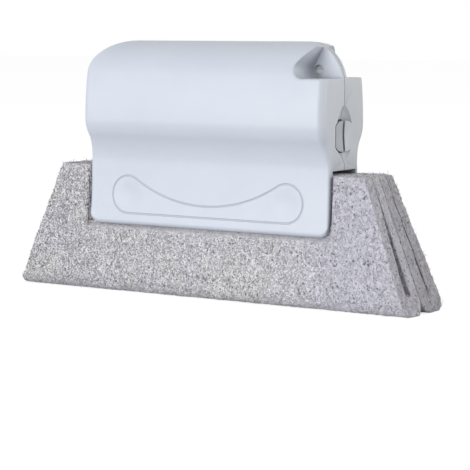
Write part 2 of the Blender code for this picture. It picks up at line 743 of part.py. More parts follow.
def make_tongue(name, end, parts, cutters, material):
    """A press tongue in one end wall, with a nose that reaches behind the rear shell's wall."""
    face = GRIP_LENGTH / 2
    back = face - TONGUE_THICKNESS
    plate = along_x(name, tongue_outline(), *sorted((end * back, end * face)), parts)
    nose_face = face - END_WALL - FIT
    nose_back = nose_face - NOSE_THICKNESS
    stem_root = back + FIT
    low = SCOOP_HEIGHT - NOSE_HEIGHT / 2
    high = SCOOP_HEIGHT + NOSE_HEIGHT / 2
    xs = sorted((end * stem_root, end * nose_back))
    stem = box(name + "_stem", (xs[0], -TONGUE_SLIT - NOSE_STEM, low), (xs[1], -TONGUE_SLIT, high), cutters)
    boolean(plate, stem, "UNION")
    xs = sorted((end * nose_face, end * nose_back))
    nose = box(name + "_nose", (xs[0], -TONGUE_SLIT - NOSE_SET_IN, low + NOSE_SET_IN),
               (xs[1], NOSE_REACH, high - NOSE_SET_IN), cutters)
    boolean(plate, nose, "UNION")
    boolean(plate, scoop_ball(name + "_dish", end, LAND_DEPTH, cutters), "DIFFERENCE")
    plate.data.materials.append(material)
    return plate


def pad_outline(depth, crevice):
    """A folded pad in end view (depth, z): two plies that meet in a fold at the bottom."""
    inner = SEAM_GAP
    middle = (inner + depth) / 2
    half = (depth - inner) / 2
    centre_z = PAD_FOLD_RISE - PAD_FOOT_CUT
    points = [(inner, PAD_HEIGHT)]
    for i in range(FOLD_STEPS + 1):
        angle = math.pi + math.pi * i / FOLD_STEPS
        z = centre_z + PAD_FOLD_RISE * math.sin(angle)
        reach = math.cos(angle)
        if z <= 0.0:
            continue
        points.append((middle + half * reach, z))
    flat = half * math.sqrt(1 - (centre_z / PAD_FOLD_RISE) ** 2)
    cut = 1 + len([p for p in points[1:] if p[0] < middle])
    points[cut:cut] = [(middle - flat, 0.0), (middle + flat, 0.0)]
    points.append((PAD_TOP_DEPTH, PAD_HEIGHT))
    top_middle = (inner + PAD_TOP_DEPTH) / 2
    radius = crevice / 2
    points.append((top_middle + PAD_PLY_GAP / 2, PAD_HEIGHT))
    points.append((top_middle + PAD_PLY_GAP / 2, CREVICE_CLOSE_HEIGHT))
    for i in range(CREVICE_STEPS + 1):
        angle = -math.pi * i / CREVICE_STEPS
        points.append((middle + radius * math.cos(angle),
                       CREVICE_FLOOR + radius + radius * math.sin(angle)))
    points.append((top_middle - PAD_PLY_GAP / 2, CREVICE_CLOSE_HEIGHT))
    points.append((top_middle - PAD_PLY_GAP / 2, PAD_HEIGHT))
    return points


def pad_half_length(height):
    """Half the pad's length at a height: its ends lean inwards."""
    return (PAD_BOTTOM_LENGTH + (PAD_TOP_LENGTH - PAD_BOTTOM_LENGTH) * height / PAD_HEIGHT) / 2


def make_pad(name, side, depth, crevice, parts, cutters, material):
    """One folded scouring pad, recessed where its skirt clamps it and pierced by the pins."""
    outline = [(side * y, z) for y, z in pad_outline(depth, crevice)]
    pad = along_x(name, outline, -PAD_BOTTOM_LENGTH / 2, PAD_BOTTOM_LENGTH / 2, parts)
    for vertex in pad.data.vertices:
        vertex.co.z = math.copysign(pad_half_length(vertex.co.y), vertex.co.z)
    clamp = []
    for point, normal in lower_profile():
        place = point - (WALL + FIT) * normal
        if place.y < WAIST_HEIGHT + OVERSHOOT:
            clamp.append((side * place.x, place.y))
    foot = foot_profile()[-1][0].y - FIT
    clamp.append((clamp[-1][0], foot))
    clamp.append((side * 2 * BELLY_DEPTH, foot))
    clamp.append((side * 2 * BELLY_DEPTH, clamp[0][1]))
    reach = GRIP_LENGTH / 2 + FIT
    boolean(pad, along_x(name + "_clamp", clamp, -reach, reach, cutters), "DIFFERENCE")
    for i, x in enumerate(pin_stations()):
        boolean(pad, pin_cone(f"{name}_pin_hole_{i}", x, side, FIT, cutters), "DIFFERENCE")
    pad.data.materials.append(material)
    return pad


def shade_round(made):
    """Shade an object smooth, with its real edges kept sharp."""
    made.data.shade_smooth()
    made.data.set_sharp_from_angle(angle=SHARP_ANGLE)


def add_pivot(name, place, pieces, collection):
    """An empty on a joint's axis that carries the pieces that turn about it."""
    pivot = bpy.data.objects.new(name, None)
    pivot.location = place
    collection.objects.link(pivot)
    bpy.context.view_layer.update()
    for piece in pieces:
        piece.parent = pivot
        piece.matrix_parent_inverse = pivot.matrix_world.inverted()


def main():
    """Build the brush."""
    clear_scene()
    parts = new_collection("gap_cleaning_brush")
    cutters = new_collection("cutters")
    shell_front = make_material("front_shell_polypropylene", SHELL_GREY, SHELL_ROUGHNESS)
    shell_rear = make_material("rear_shell_polypropylene", SHELL_GREY, SHELL_ROUGHNESS)
    film_plastic = make_material("hinge_film_polypropylene", FILM_GREY, FILM_ROUGHNESS)
    right_plastic = make_material("latch_right_polypropylene", SHELL_GREY, SHELL_ROUGHNESS)
    left_plastic = make_material("latch_left_polypropylene", SHELL_GREY, SHELL_ROUGHNESS)
    front_web = make_material("pad_front_scouring_web", PAD_GREY, WEB_ROUGHNESS)
    rear_web = make_material("pad_rear_scouring_web", PAD_GREY, WEB_ROUGHNESS)

    make_shell("front_shell", -1, parts, cutters, shell_front)
    make_film(parts, film_plastic)
    make_pad("pad_front", -1, PAD_FRONT_DEPTH, FRONT_CREVICE, parts, cutters, front_web)
    rear_half = [
        make_shell("rear_shell", 1, parts, cutters, shell_rear),
        make_pad("pad_rear", 1, PAD_REAR_DEPTH, REAR_CREVICE, parts, cutters, rear_web),
    ]
    right_tongue = make_tongue("latch_tongue_right", 1, parts, cutters, right_plastic)
    left_tongue = make_tongue("latch_tongue_left", -1, parts, cutters, left_plastic)
    for piece in parts.objects:
        shade_round(piece)

    add_pivot("rear_half_pivot", (0.0, 0.0, GRIP_TOP), rear_half, parts)
    for tongue, end, word in ((right_tongue, 1, "right"), (left_tongue, -1, "left")):
        root = (end * (GRIP_LENGTH - TONGUE_THICKNESS) / 2, -TONGUE_SLIT - TONGUE_LENGTH, SCOOP_HEIGHT)
        add_pivot(f"latch_{word}_pivot", root, [tongue], parts)


main()
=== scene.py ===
"""Looks of the gap cleaning brush.

A pale palm grip, moulded in two halves that open on a film along the crest, holds two folded
scouring pads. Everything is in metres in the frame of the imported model: +X runs along the brush
towards the end with the hanging notch, the front looks along -Y, and the pads stand on Z = 0.
"""

import logging
import math
from dataclasses import dataclass
from enum import Enum

import bmesh
import bpy
import numpy as np
from mathutils import Matrix, Vector


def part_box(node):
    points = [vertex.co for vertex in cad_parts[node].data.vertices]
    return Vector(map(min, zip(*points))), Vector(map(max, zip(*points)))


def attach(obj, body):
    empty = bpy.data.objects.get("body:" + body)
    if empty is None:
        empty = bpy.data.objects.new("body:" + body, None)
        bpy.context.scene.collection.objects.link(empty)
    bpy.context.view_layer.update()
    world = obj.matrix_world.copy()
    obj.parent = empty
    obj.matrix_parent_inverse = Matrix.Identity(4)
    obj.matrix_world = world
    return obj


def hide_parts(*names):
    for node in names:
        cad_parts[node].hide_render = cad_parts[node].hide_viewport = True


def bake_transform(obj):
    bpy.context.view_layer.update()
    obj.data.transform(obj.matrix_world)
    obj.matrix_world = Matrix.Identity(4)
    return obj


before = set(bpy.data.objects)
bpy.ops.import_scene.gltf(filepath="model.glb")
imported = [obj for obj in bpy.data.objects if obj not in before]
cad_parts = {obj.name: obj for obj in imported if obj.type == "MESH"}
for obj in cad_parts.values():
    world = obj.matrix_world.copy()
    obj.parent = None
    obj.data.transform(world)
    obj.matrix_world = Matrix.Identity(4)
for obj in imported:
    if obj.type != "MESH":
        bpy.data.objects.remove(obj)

log = logging.getLogger("gap_cleaning_brush")

# Lengths are in metres. Points nearer than WELD are one, and TINY keeps a divisor above zero.
MM = 0.001
WELD = 1e-7
TINY = 1e-9
WHITE = (1.0, 1.0, 1.0, 1.0)
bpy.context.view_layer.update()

Points = np.ndarray
Pair = tuple[float, float]
Triple = tuple[float, float, float]
Piece = bpy.types.Object
Tree = bpy.types.NodeTree
Socket = bpy.types.NodeSocket


class Half(Enum):
    """The two halves of the grip, as the sign of Y on which each lies."""

    FRONT = -1
    REAR = 1


class End(Enum):
    """The two ends of the grip, as the sign of X at which each lies."""

    LEFT = -1
    RIGHT = 1


class Cut(Enum):
    """What a tool does to the solid that it meets."""

    REMOVE = "DIFFERENCE"
    ADD = "UNION"


def sorted_pair(first: float, second: float) -> Pair:
    """Return two values with the lower one first."""
    return (first, second) if first <= second else (second, first)


def arc(centre: Pair, radius: float, start: float, stop: float, step: float,
        hollow: bool = False) -> tuple[Points, Points]:
    """Sample an arc between two normal angles: centre plus radius times (cosine, sine).

    Args:
        centre: The arc's centre in the plane.
        radius: The arc's radius.
        start: The normal's angle at the first point.
        stop: The normal's angle at the last point.
        step: The longest chord to leave between points.
        hollow: True where the solid lies outside the circle, so the points face its centre.

    Returns:
        The points and their outward normals, each of shape (n, 2).
    """
    count = max(2, math.ceil(abs(stop - start) * radius / step))
    angle = np.linspace(start, stop, count + 1)
    normal = np.stack([np.cos(angle), np.sin(angle)], axis=1)
    reach = -radius if hollow else radius
    return np.array(centre) + reach * normal, normal


def arc_drop(radius: Points | float, from_end: Points | float) -> Points:
    """Find how far a quarter round has fallen at a distance from the end.

    It is the radius less the root of the squared radius less the squared reach, and the reach is
    the radius less the distance.

    Args:
        radius: The round's radius.
        from_end: The distance from the end.

    Returns:
        The fall, which is 0 past the round.
    """
    reach = np.clip(radius - from_end, 0.0, radius)
    return radius - np.sqrt(np.maximum(radius ** 2 - reach ** 2, 0.0))


def soft_minimum(a: Points, b: Points, width: Points) -> Points:
    """Take the lower of two fields and round the corner where they cross.

    It is the lower field less the squared overlap over four times the width, and the overlap is
    the width less the gap between the fields, where that is above 0.

    Args:
        a: The first field.
        b: The second field.
        width: The gap between the fields within which the corner is rounded.

    Returns:
        The blended field.
    """
    width = np.maximum(width, TINY)
    return np.minimum(a, b) - np.maximum(width - np.abs(a - b), 0.0) ** 2 / (4 * width)


def smooth_step(value: Points) -> Points:
    """Ease from 0 to 1: three times the square less twice the cube of the clipped value."""
    t = np.clip(value, 0.0, 1.0)
    return t * t * (3 - 2 * t)


def tangle(places: Points, size: float, seed: int, waves: int = 40,
           spread: Pair = (0.7, 1.5)) -> Points:
    """A smooth random field: the sum of plane waves of about one length in random directions.

    Args:
        places: Points of shape (n, 3).
        size: The middle wavelength.
        seed: The seed of the random directions and phases.
        waves: How many plane waves are summed.
        spread: The shortest and the longest wave, as shares of the middle one.

    Returns:
        One value for each point, with a mean of about 0 and a spread of about 1.
    """
    rng = np.random.default_rng(seed)
    heading = rng.normal(size=(waves, 3))
    heading /= np.linalg.norm(heading, axis=1, keepdims=True)
    pitch = 2 * math.pi / (size * rng.uniform(*spread, waves))
    phase = rng.uniform(0, 2 * math.pi, waves)
    wave = np.cos(places @ (heading * pitch[:, None]).T + phase)
    return wave.sum(axis=1) * math.sqrt(2 / waves)


def grid_faces(rows: int, columns: int, wrap: bool) -> list[list[int]]:
    """List the quads of a grid of points whose index is row times columns plus column.

    Args:
        rows: The number of rows.
        columns: The number of columns.
        wrap: True where the last column joins the first.

    Returns:
        The quads as lists of four indices.
    """
    across = columns if wrap else columns - 1
    row, column = np.meshgrid(np.arange(rows - 1), np.arange(across), indexing="ij")
    after = (column + 1) % columns
    quads = [row * columns + column, row * columns + after,
             (row + 1) * columns + after, (row + 1) * columns + column]
    return np.stack(quads, axis=-1).reshape(-1, 4).tolist()


def mesh_piece(name: str, points: Points, faces: list[list[int]]) -> Piece:
    """Make an object at the origin from points and faces, welded and facing outwards.

    Args:
        name: The piece's name.
        points: The points of shape (n, 3), in the model's frame.
        faces: The faces as lists of indices.

    Returns:
        The new object, linked to the scene.
    """
    mesh = bpy.data.meshes.new(name)
    mesh.from_pydata(points.reshape(-1, 3), [], faces)
    bm = bmesh.new()
    bm.from_mesh(mesh)
    bmesh.ops.remove_doubles(bm, verts=bm.verts, dist=WELD)
    bmesh.ops.recalc_face_normals(bm, faces=bm.faces)
    bm.to_mesh(mesh)
    bm.free()
    made = bpy.data.objects.new(name, mesh)
    bpy.context.scene.collection.objects.link(made)
    return made


def skin_piece(name: str, rings: Points) -> Piece:
    """Skin a row of closed rings and cap the first and the last.

    Args:
        name: The piece's name.
        rings: The rings' points of shape (m, n, 3).

    Returns:
        The closed piece.
    """
    rows, columns = rings.shape[:2]
    faces = grid_faces(rows, columns, wrap=True)
    faces += [list(range(columns)), list(range((rows - 1) * columns, rows * columns))]
    return mesh_piece(name, rings, faces)


def prism_piece(name: str, outline: Points, axis: int, low: float, high: float) -> Piece:
    """Extrude a flat outline along one axis.

    Args:
        name: The piece's name.
        outline: The outline's points of shape (n, 2), in the order of the other two axes.
        axis: The axis along which the outline is carried.
        low: Where the prism starts on that axis.
        high: Where it ends.

    Returns:
        The closed prism.
    """
    rings = np.stack([np.insert(outline, axis, place, axis=1) for place in (low, high)])
    return skin_piece(name, rings)


def box_piece(name: str, low: Triple, high: Triple) -> Piece:
    """Make a box between two corners."""
    corners = [(low[0], low[1]), (high[0], low[1]), (high[0], high[1]), (low[0], high[1])]
    return prism_piece(name, np.array(corners), 2, low[2], high[2])


def round_piece(name: str, start: Triple, end: Triple, radii: Pair, sides: int) -> Piece:
    """Make a cylinder or cone between two points.

    Each end is a ring: its centre plus its radius times (cosine times one direction across the
    axis plus sine times the other).

    Args:
        name: The piece's name.
        start: The centre of the first end.
        end: The centre of the last end.
        radii: The radius at the first and at the last end.
        sides: The number of flats round it.

    Returns:
        The closed solid.
    """
    axis = np.subtract(end, start)
    across = np.cross(axis, (0.0, 0.0, 1.0))
    across /= np.linalg.norm(across)
    upward = np.cross(across, axis)
    upward /= np.linalg.norm(upward)
    angle = np.arange(sides)[:, None] * 2 * math.pi / sides
    spoke = np.cos(angle) * across + np.sin(angle) * upward
    rings = [np.array(centre) + radius * spoke for centre, radius in zip((start, end), radii)]
    return skin_piece(name, np.stack(rings))


def carve(body: Piece, tools: list[tuple[Piece, Cut]]) -> Piece:
    """Cut and join tools one after the other, keep the result as the body's mesh, drop the tools.

    Args:
        body: The closed solid to work on.
        tools: Each tool with what it does.

    Returns:
        The same object with its new mesh.
    """
    for tool, cut in tools:
        modifier = body.modifiers.new(tool.name, "BOOLEAN")
        modifier.operation = cut.value
        modifier.solver = "MANIFOLD"
        modifier.object = tool
    graph = bpy.context.evaluated_depsgraph_get()
    graph.update()
    mesh = bpy.data.meshes.new_from_object(body.evaluated_get(graph))
    body.modifiers.clear()
    body.data = mesh
    for tool, _ in tools:
        bpy.data.objects.remove(tool, do_unlink=True)
    return body


def finish_piece(piece: Piece, node: str, body: str, material: bpy.types.Material,
                 sharp: float) -> None:
    """Shade a piece, dress it and let it stand for its node.

    Args:
        piece: The finished piece.
        node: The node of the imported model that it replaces.
        body: The body that it moves with.
        material: Its finish.
        sharp: The angle in degrees above which an edge stays sharp.
    """
    piece.data.shade_smooth()
    piece.data.set_sharp_from_angle(angle=math.radians(sharp))
    piece.data.materials.clear()
    piece.data.materials.append(material)
    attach(piece, body)
    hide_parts(node)
    log.info("%s stands for %s on %s: %d faces",
             piece.name, node, body, len(piece.data.polygons))


def linear_colour(hex_code: str) -> tuple[float, float, float, float]:
    """Turn an sRGB colour into linear values, by the standard's straight foot and power curve.

    Args:
        hex_code: Six hex digits for red, green and blue.

    Returns:
        Linear red, green and blue, and an alpha of one.
    """
    channels = np.array([int(hex_code[i:i + 2], 16) / 255 for i in (0, 2, 4)])
    curve = ((channels + 0.055) / 1.055) ** 2.4
    return (*np.where(channels <= 0.04045, channels / 12.92, curve).tolist(), 1.0)


def set_node(tree: Tree, node: bpy.types.Node, settings: dict | None = None,
             links: dict | None = None) -> bpy.types.Node:
    """Give a node its settings and links.

    Args:
        tree: The node tree.
        node: The node.
        settings: Values by socket name, socket number or property name.
        links: Output sockets by the name or number of the input that they feed.

    Returns:
        The same node.
    """
    for name, value in (settings or {}).items():
        if isinstance(name, str) and hasattr(node, name):
            setattr(node, name, value)
        else:
            node.inputs[name].default_value = value
    for name, source in (links or {}).items():
        tree.links.new(source, node.inputs[name])
    return node


def add_node(tree: Tree, kind: str, settings: dict | None = None,
             links: dict | None = None) -> bpy.types.Node:
    """Add a node to a tree, with its settings and links as set_node takes them."""
    return set_node(tree, tree.nodes.new(kind), settings, links)


def new_material(name: str) -> tuple[bpy.types.Material, Tree, bpy.types.Node]:
    """Make an empty Principled material.

    Args:
        name: The material's name.

    Returns:
        The material, its tree and its shader.
    """
    material = bpy.data.materials.new(name)
    material.use_nodes = True
    tree = material.node_tree
    return material, tree, tree.nodes["Principled BSDF"]


@dataclass(frozen=True)
class CreaseShade:
    """Painted shade: a surface's colour darkened in its creases, where other surfaces stand close.

    A point's open share is the part of its surroundings, as far as the reach, in which no other
    surface stands.

    Attributes:
        reach: How near a surface has to be to count.
        depth: How much of the colour is lost at the most.
        closed: The open share below which the most is lost.
        clear: The open share above which nothing is lost.
        own: True where only the same piece counts.
        samples: How many rays look for other surfaces.
    """

    reach: float
    depth: float
    closed: float = 0.0
    clear: float = 1.0
    own: bool = False
    samples: int = 6

    def darken(self, tree: Tree, colour: Socket) -> Socket:
        """Darken a colour by the shade.

        Args:
            tree: The node tree.
            colour: The colour to darken.

        Returns:
            The darkened colour.
        """
        near = add_node(tree, "ShaderNodeAmbientOcclusion",
                        {"samples": self.samples, "only_local": self.own, "Distance": self.reach})
        level = add_node(tree, "ShaderNodeMapRange",
                         {"From Min": self.closed, "From Max": self.clear,
                          "To Min": 1 - self.depth}, {"Value": near.outputs["AO"]})
        shaded = add_node(tree, "ShaderNodeMix",
                          {"data_type": "RGBA", "blend_type": "MULTIPLY", 0: 1.0},
                          {6: colour, 7: level.outputs["Result"]})
        return shaded.outputs[2]


@dataclass(frozen=True)
class SatinPolypropylene:
    """Polypropylene moulded in a spark-eroded tool: satin, slightly translucent, faintly mottled.

    The eroded tool leaves a soft, even sheen, light sinks a little way into the plastic, and the
    melt's flow leaves faint clouds. Rounded edges are painted paler, a painted highlight, and
    hollows and creases are darkened, painted shade. The real grain of the tool is under 0.1 mm
    wide, too fine to show in the render, so it is drawn 0.45 mm wide.
    """

    name: str
    colour: str = "dde3ee"
    cloud_colour: str = "d6dce8"
    cloud_size: float = 17 * MM
    # Painted highlight: rounded edges are painted towards this paler colour.
    edge_highlight_colour: str = "e9eef6"
    edge_radius: float = 0.18 * MM
    edge_samples: int = 6
    edge_highlight_range: Pair = (0.98, 0.80)
    edge_highlight_share: float = 0.7
    roughness: float = 0.40
    sheen_spread: float = 0.05
    sheen_patch: float = 7 * MM
    grain_size: float = 0.45 * MM
    grain_depth: float = 0.012 * MM
    grain_strength: float = 0.5
    ior: float = 1.49
    glow_depth: float = 1.2 * MM
    glow_share: float = 0.10
    # Painted shade: the colour is darkened in hollows and in creases, where other surfaces stand
    # close.
    hollow: CreaseShade = CreaseShade(9.0 * MM, 0.34, closed=0.5)
    crease_painted_shade: CreaseShade = CreaseShade(2.2 * MM, 0.93, closed=0.06, clear=0.46)

    def material(self) -> bpy.types.Material:
        """Build the finish.

        An edge is where the normal, rounded over the edge's radius, turns away from the face's
        own: the edge's share runs over a range of the dot product of the two, and there the colour
        is painted paler, a painted highlight.

        Returns:
            A material with flow clouds, a fine moulded grain, a painted highlight on edges and
            painted shade in hollows and creases.
        """
        material, tree, shader = new_material(self.name)
        place = {"Vector": add_node(tree, "ShaderNodeTexCoord").outputs["Object"]}
        cloud = add_node(tree, "ShaderNodeTexNoise",
                         {"Scale": 1 / self.cloud_size, "Detail": 2.0}, place)
        tone = add_node(tree, "ShaderNodeMix",
                        {"data_type": "RGBA", 6: linear_colour(self.colour),
                         7: linear_colour(self.cloud_colour)}, {0: cloud.outputs["Fac"]})
        rounded = add_node(tree, "ShaderNodeBevel",
                           {"samples": self.edge_samples, "Radius": self.edge_radius})
        face = add_node(tree, "ShaderNodeNewGeometry")
        apart = add_node(tree, "ShaderNodeVectorMath", {"operation": "DOT_PRODUCT"},
                         {0: rounded.outputs["Normal"], 1: face.outputs["Normal"]})
        # Painted highlight: the colour turns paler where the rounded normal turns away from the
        # face's.
        edge = add_node(tree, "ShaderNodeMapRange",
                        {"From Min": self.edge_highlight_range[0], "From Max": self.edge_highlight_range[1],
                         "To Max": self.edge_highlight_share}, {"Value": apart.outputs["Value"]})
        highlighted = add_node(tree, "ShaderNodeMix",
                            {"data_type": "RGBA", 7: linear_colour(self.edge_highlight_colour)},
                            {0: edge.outputs["Result"], 6: tone.outputs[2]})
        patch = add_node(tree, "ShaderNodeTexNoise",
                         {"Scale": 1 / self.sheen_patch, "Detail": 1.0}, place)
        sheen = add_node(tree, "ShaderNodeMapRange",
                         {"To Min": self.roughness - self.sheen_spread,
                          "To Max": self.roughness + self.sheen_spread},
                         {"Value": patch.outputs["Fac"]})
        grain = add_node(tree, "ShaderNodeTexNoise",
                         {"Scale": 1 / self.grain_size, "Detail": 2.0}, place)
        bump = add_node(tree, "ShaderNodeBump",
                        {"Strength": self.grain_strength, "Distance": self.grain_depth},
                        {"Height": grain.outputs["Fac"], "Normal": rounded.outputs["Normal"]})
        # Painted shade darkens the colour in hollows and creases.
        shaded = self.crease_painted_shade.darken(tree, self.hollow.darken(tree, highlighted.outputs[2]))
        set_node(tree, shader,
                 {"IOR": self.ior, "Subsurface Weight": self.glow_share,
                  "Subsurface Radius": (1.0, 1.0, 1.0), "Subsurface Scale": self.glow_depth},
                 {"Base Color": shaded, "Roughness": sheen.outputs["Result"],
                  "Normal": bump.outputs["Normal"]})
        return material


@dataclass(frozen=True)
class ScouringWeb:
    """Non-woven nylon web bonded with abrasive grit: a rough open tangle of pale and dark fibres.

    Crossed threads of pale fibre catch the light and are painted paler, their own colour with a
    painted highlight; the gaps between them are pits painted dark, painted shade; grit gives
    specks; the gaps between the web's layers show as dark lines of painted shade where its ends
    were cut; and faces that look up or down are painted paler, a painted highlight. The real
    fibres are 0.03 to 0.05 mm thick and the grit is finer still, too fine to show in the render,
    so threads, pits, gaps between layers and grit are drawn 0.5 to 0.95 mm wide.
    """

    name: str
    base: str = "e0deec"
    warm: str = "e5e3e2"
    smooth: str = "d6d5e2"
    # Painted highlight: faces that look up or down are painted towards this paler colour.
    up_down_highlight: str = "f4f3f7"
    # The lit threads' colour: the fibre's own pale colour with a painted highlight.
    fibre: str = "fbfafd"
    # Painted shade in the gaps between the threads.
    pit: str = "4c4855"
    # Painted shade in the gaps between the web's layers.
    layer_gap_shade: str = "a19db4"
    patch_size: float = 16 * MM
    patch_range: Pair = (0.35, 0.65)
    thread_size: float = 0.95 * MM
    thread_angle: float = 38.0
    thread_stretch: float = 2.6
    thread_sharpness: float = 8.0
    thread_share: float = 0.55
    fine_size: float = 0.60 * MM
    fine_sharpness: float = 9.0
    layer_size: float = 0.95 * MM
    layer_stretch: float = 9.0
    layer_range: Pair = (0.50, 0.68)
    layer_facing: Pair = (0.55, 0.85)
    grit_size: float = 0.50 * MM
    grit_range: Pair = (0.3, 0.7)
    grit_tone: Pair = (0.54, 1.40)
    worn_range: Pair = (20 * MM, 55 * MM)
    worn_share: float = 0.8
    pit_size: float = 0.95 * MM
    pit_range: Pair = (0.64, 0.70)
    pit_share: float = 0.75
    up_down_highlight_facing: Pair = (0.35, 0.85)
    up_down_highlight_share: float = 0.7
    # Painted light: the colour runs from darker at the left end to lighter at the right.
    painted_light_span: float = 70 * MM
    painted_light_tone: Pair = (0.91, 1.12)
    # Painted shade: the colour is darkened where the web's own surfaces stand close.
    hollow: CreaseShade = CreaseShade(4.0 * MM, 0.70, closed=0.1, clear=0.9, own=True)
    relief: float = 0.28 * MM
    relief_strength: float = 0.9
    roughness: float = 0.9
    gloss: float = 0.25
    sheen: Pair = (0.15, 0.6)

    def laid(self, tree: Tree, place: Socket, angle: float, stretch: Triple) -> Socket:
        """Turn and stretch coordinates, so that a noise read there runs in lines.

        Args:
            tree: The node tree.
            place: The coordinates.
            angle: The turn about Y in degrees.
            stretch: How many times longer the noise becomes along each turned axis.

        Returns:
            The new coordinates.
        """
        node = add_node(tree, "ShaderNodeMapping",
                        {"vector_type": "TEXTURE", "Rotation": (0.0, math.radians(angle), 0.0),
                         "Scale": stretch}, {"Vector": place})
        return node.outputs["Vector"]

    def ridge(self, tree: Tree, place: Socket, size: float, sharpness: float) -> Socket:
        """Draw lines where a noise crosses its middle: 1 less sharpness times its gap to 0.5.

        Args:
            tree: The node tree.
            place: The coordinates.
            size: The noise's size.
            sharpness: How narrow the lines are.

        Returns:
            The lines' strength from 0 to 1.
        """
        noise = add_node(tree, "ShaderNodeTexNoise",
                         {"Scale": 1 / size, "Detail": 1.0, "Distortion": 0.5}, {"Vector": place})
        offset = add_node(tree, "ShaderNodeMath", {"operation": "SUBTRACT", 1: 0.5},
                          {0: noise.outputs["Fac"]})
        gap = add_node(tree, "ShaderNodeMath", {"operation": "ABSOLUTE"}, {0: offset.outputs[0]})
        line = add_node(tree, "ShaderNodeMath",
                        {"operation": "MULTIPLY_ADD", 1: -sharpness, 2: 1.0, "use_clamp": True},
                        {0: gap.outputs[0]})
        return line.outputs[0]

    def threads(self, tree: Tree, place: Socket) -> Socket:
        """Take the strongest of two crossing sets of laid threads and one set of tangled ones.

        Args:
            tree: The node tree.
            place: The coordinates.

        Returns:
            The threads' strength from 0 to 1.
        """
        stretch = (1.0, 1.0, self.thread_stretch)
        sets = [self.ridge(tree, self.laid(tree, place, angle, stretch), self.thread_size,
                           self.thread_sharpness)
                for angle in (self.thread_angle, -self.thread_angle)]
        crossed = add_node(tree, "ShaderNodeMath", {"operation": "MAXIMUM"},
                           {0: sets[0], 1: sets[1]})
        fine = self.ridge(tree, place, self.fine_size, self.fine_sharpness)
        strongest = add_node(tree, "ShaderNodeMath", {"operation": "MAXIMUM"},
                             {0: crossed.outputs[0], 1: fine})
        return strongest.outputs[0]

    def facing(self, tree: Tree, along: Socket, span: Pair, most: float) -> Socket:
        """Tell how much a face looks along an axis, whichever way.

        Args:
            tree: The node tree.
            along: The face's normal along that axis.
            span: The normal's sizes at which the result is 0 and the most.
            most: The most.

        Returns:
            A value from 0 to the most.
        """
        size = add_node(tree, "ShaderNodeMath", {"operation": "ABSOLUTE"}, {0: along})
        share = add_node(tree, "ShaderNodeMapRange",
                         {"From Min": span[0], "From Max": span[1], "To Max": most},
                         {"Value": size.outputs[0]})
        return share.outputs["Result"]

    def layers(self, tree: Tree, place: Socket, along: Socket) -> Socket:
        """Draw the gaps between the web's layers, seen only where its ends were cut: sunk in the
        relief and painted darker, painted shade.

        Args:
            tree: The node tree.
            place: The coordinates.
            along: The face's normal along X.

        Returns:
            The gaps' strength from 0 to 1.
        """
        stretch = (self.layer_stretch, 1.0, self.layer_stretch)
        noise = add_node(tree, "ShaderNodeTexNoise", {"Scale": 1 / self.layer_size, "Detail": 2.0},
                         {"Vector": self.laid(tree, place, 0.0, stretch)})
        gap = add_node(tree, "ShaderNodeMapRange",
                       {"From Min": self.layer_range[0], "From Max": self.layer_range[1]},
                       {"Value": noise.outputs["Fac"]})
        seen = add_node(tree, "ShaderNodeMath", {"operation": "MULTIPLY"},
                        {0: gap.outputs["Result"],
                         1: self.facing(tree, along, self.layer_facing, 1.0)})
        return seen.outputs[0]

    def pits(self, tree: Tree, place: Socket) -> Socket:
        """Mark the gaps between the threads, where a noise is high: sunk in the relief and painted
        dark, painted shade.

        Args:
            tree: The node tree.
            place: The coordinates.

        Returns:
            The pits' strength.
        """
        noise = add_node(tree, "ShaderNodeTexNoise", {"Scale": 1 / self.pit_size, "Detail": 1.0},
                         {"Vector": place})
        deep = add_node(tree, "ShaderNodeMapRange",
                        {"From Min": self.pit_range[0], "From Max": self.pit_range[1],
                         "To Max": self.pit_share}, {"Value": noise.outputs["Fac"]})
        return deep.outputs["Result"]

    def tone(self, tree: Tree, place: Socket) -> Socket:
        """Change the web's colour slowly from its base tone to its warm one and back.

        Args:
            tree: The node tree.
            place: The coordinates.

        Returns:
            The colour.
        """
        patch = add_node(tree, "ShaderNodeTexNoise", {"Scale": 1 / self.patch_size, "Detail": 2.0},
                         {"Vector": place})
        warmth = add_node(tree, "ShaderNodeMapRange",
                          {"From Min": self.patch_range[0], "From Max": self.patch_range[1]},
                          {"Value": patch.outputs["Fac"]})
        mixed = add_node(tree, "ShaderNodeMix",
                         {"data_type": "RGBA", 6: linear_colour(self.base),
                          7: linear_colour(self.warm)}, {0: warmth.outputs["Result"]})
        return mixed.outputs[2]

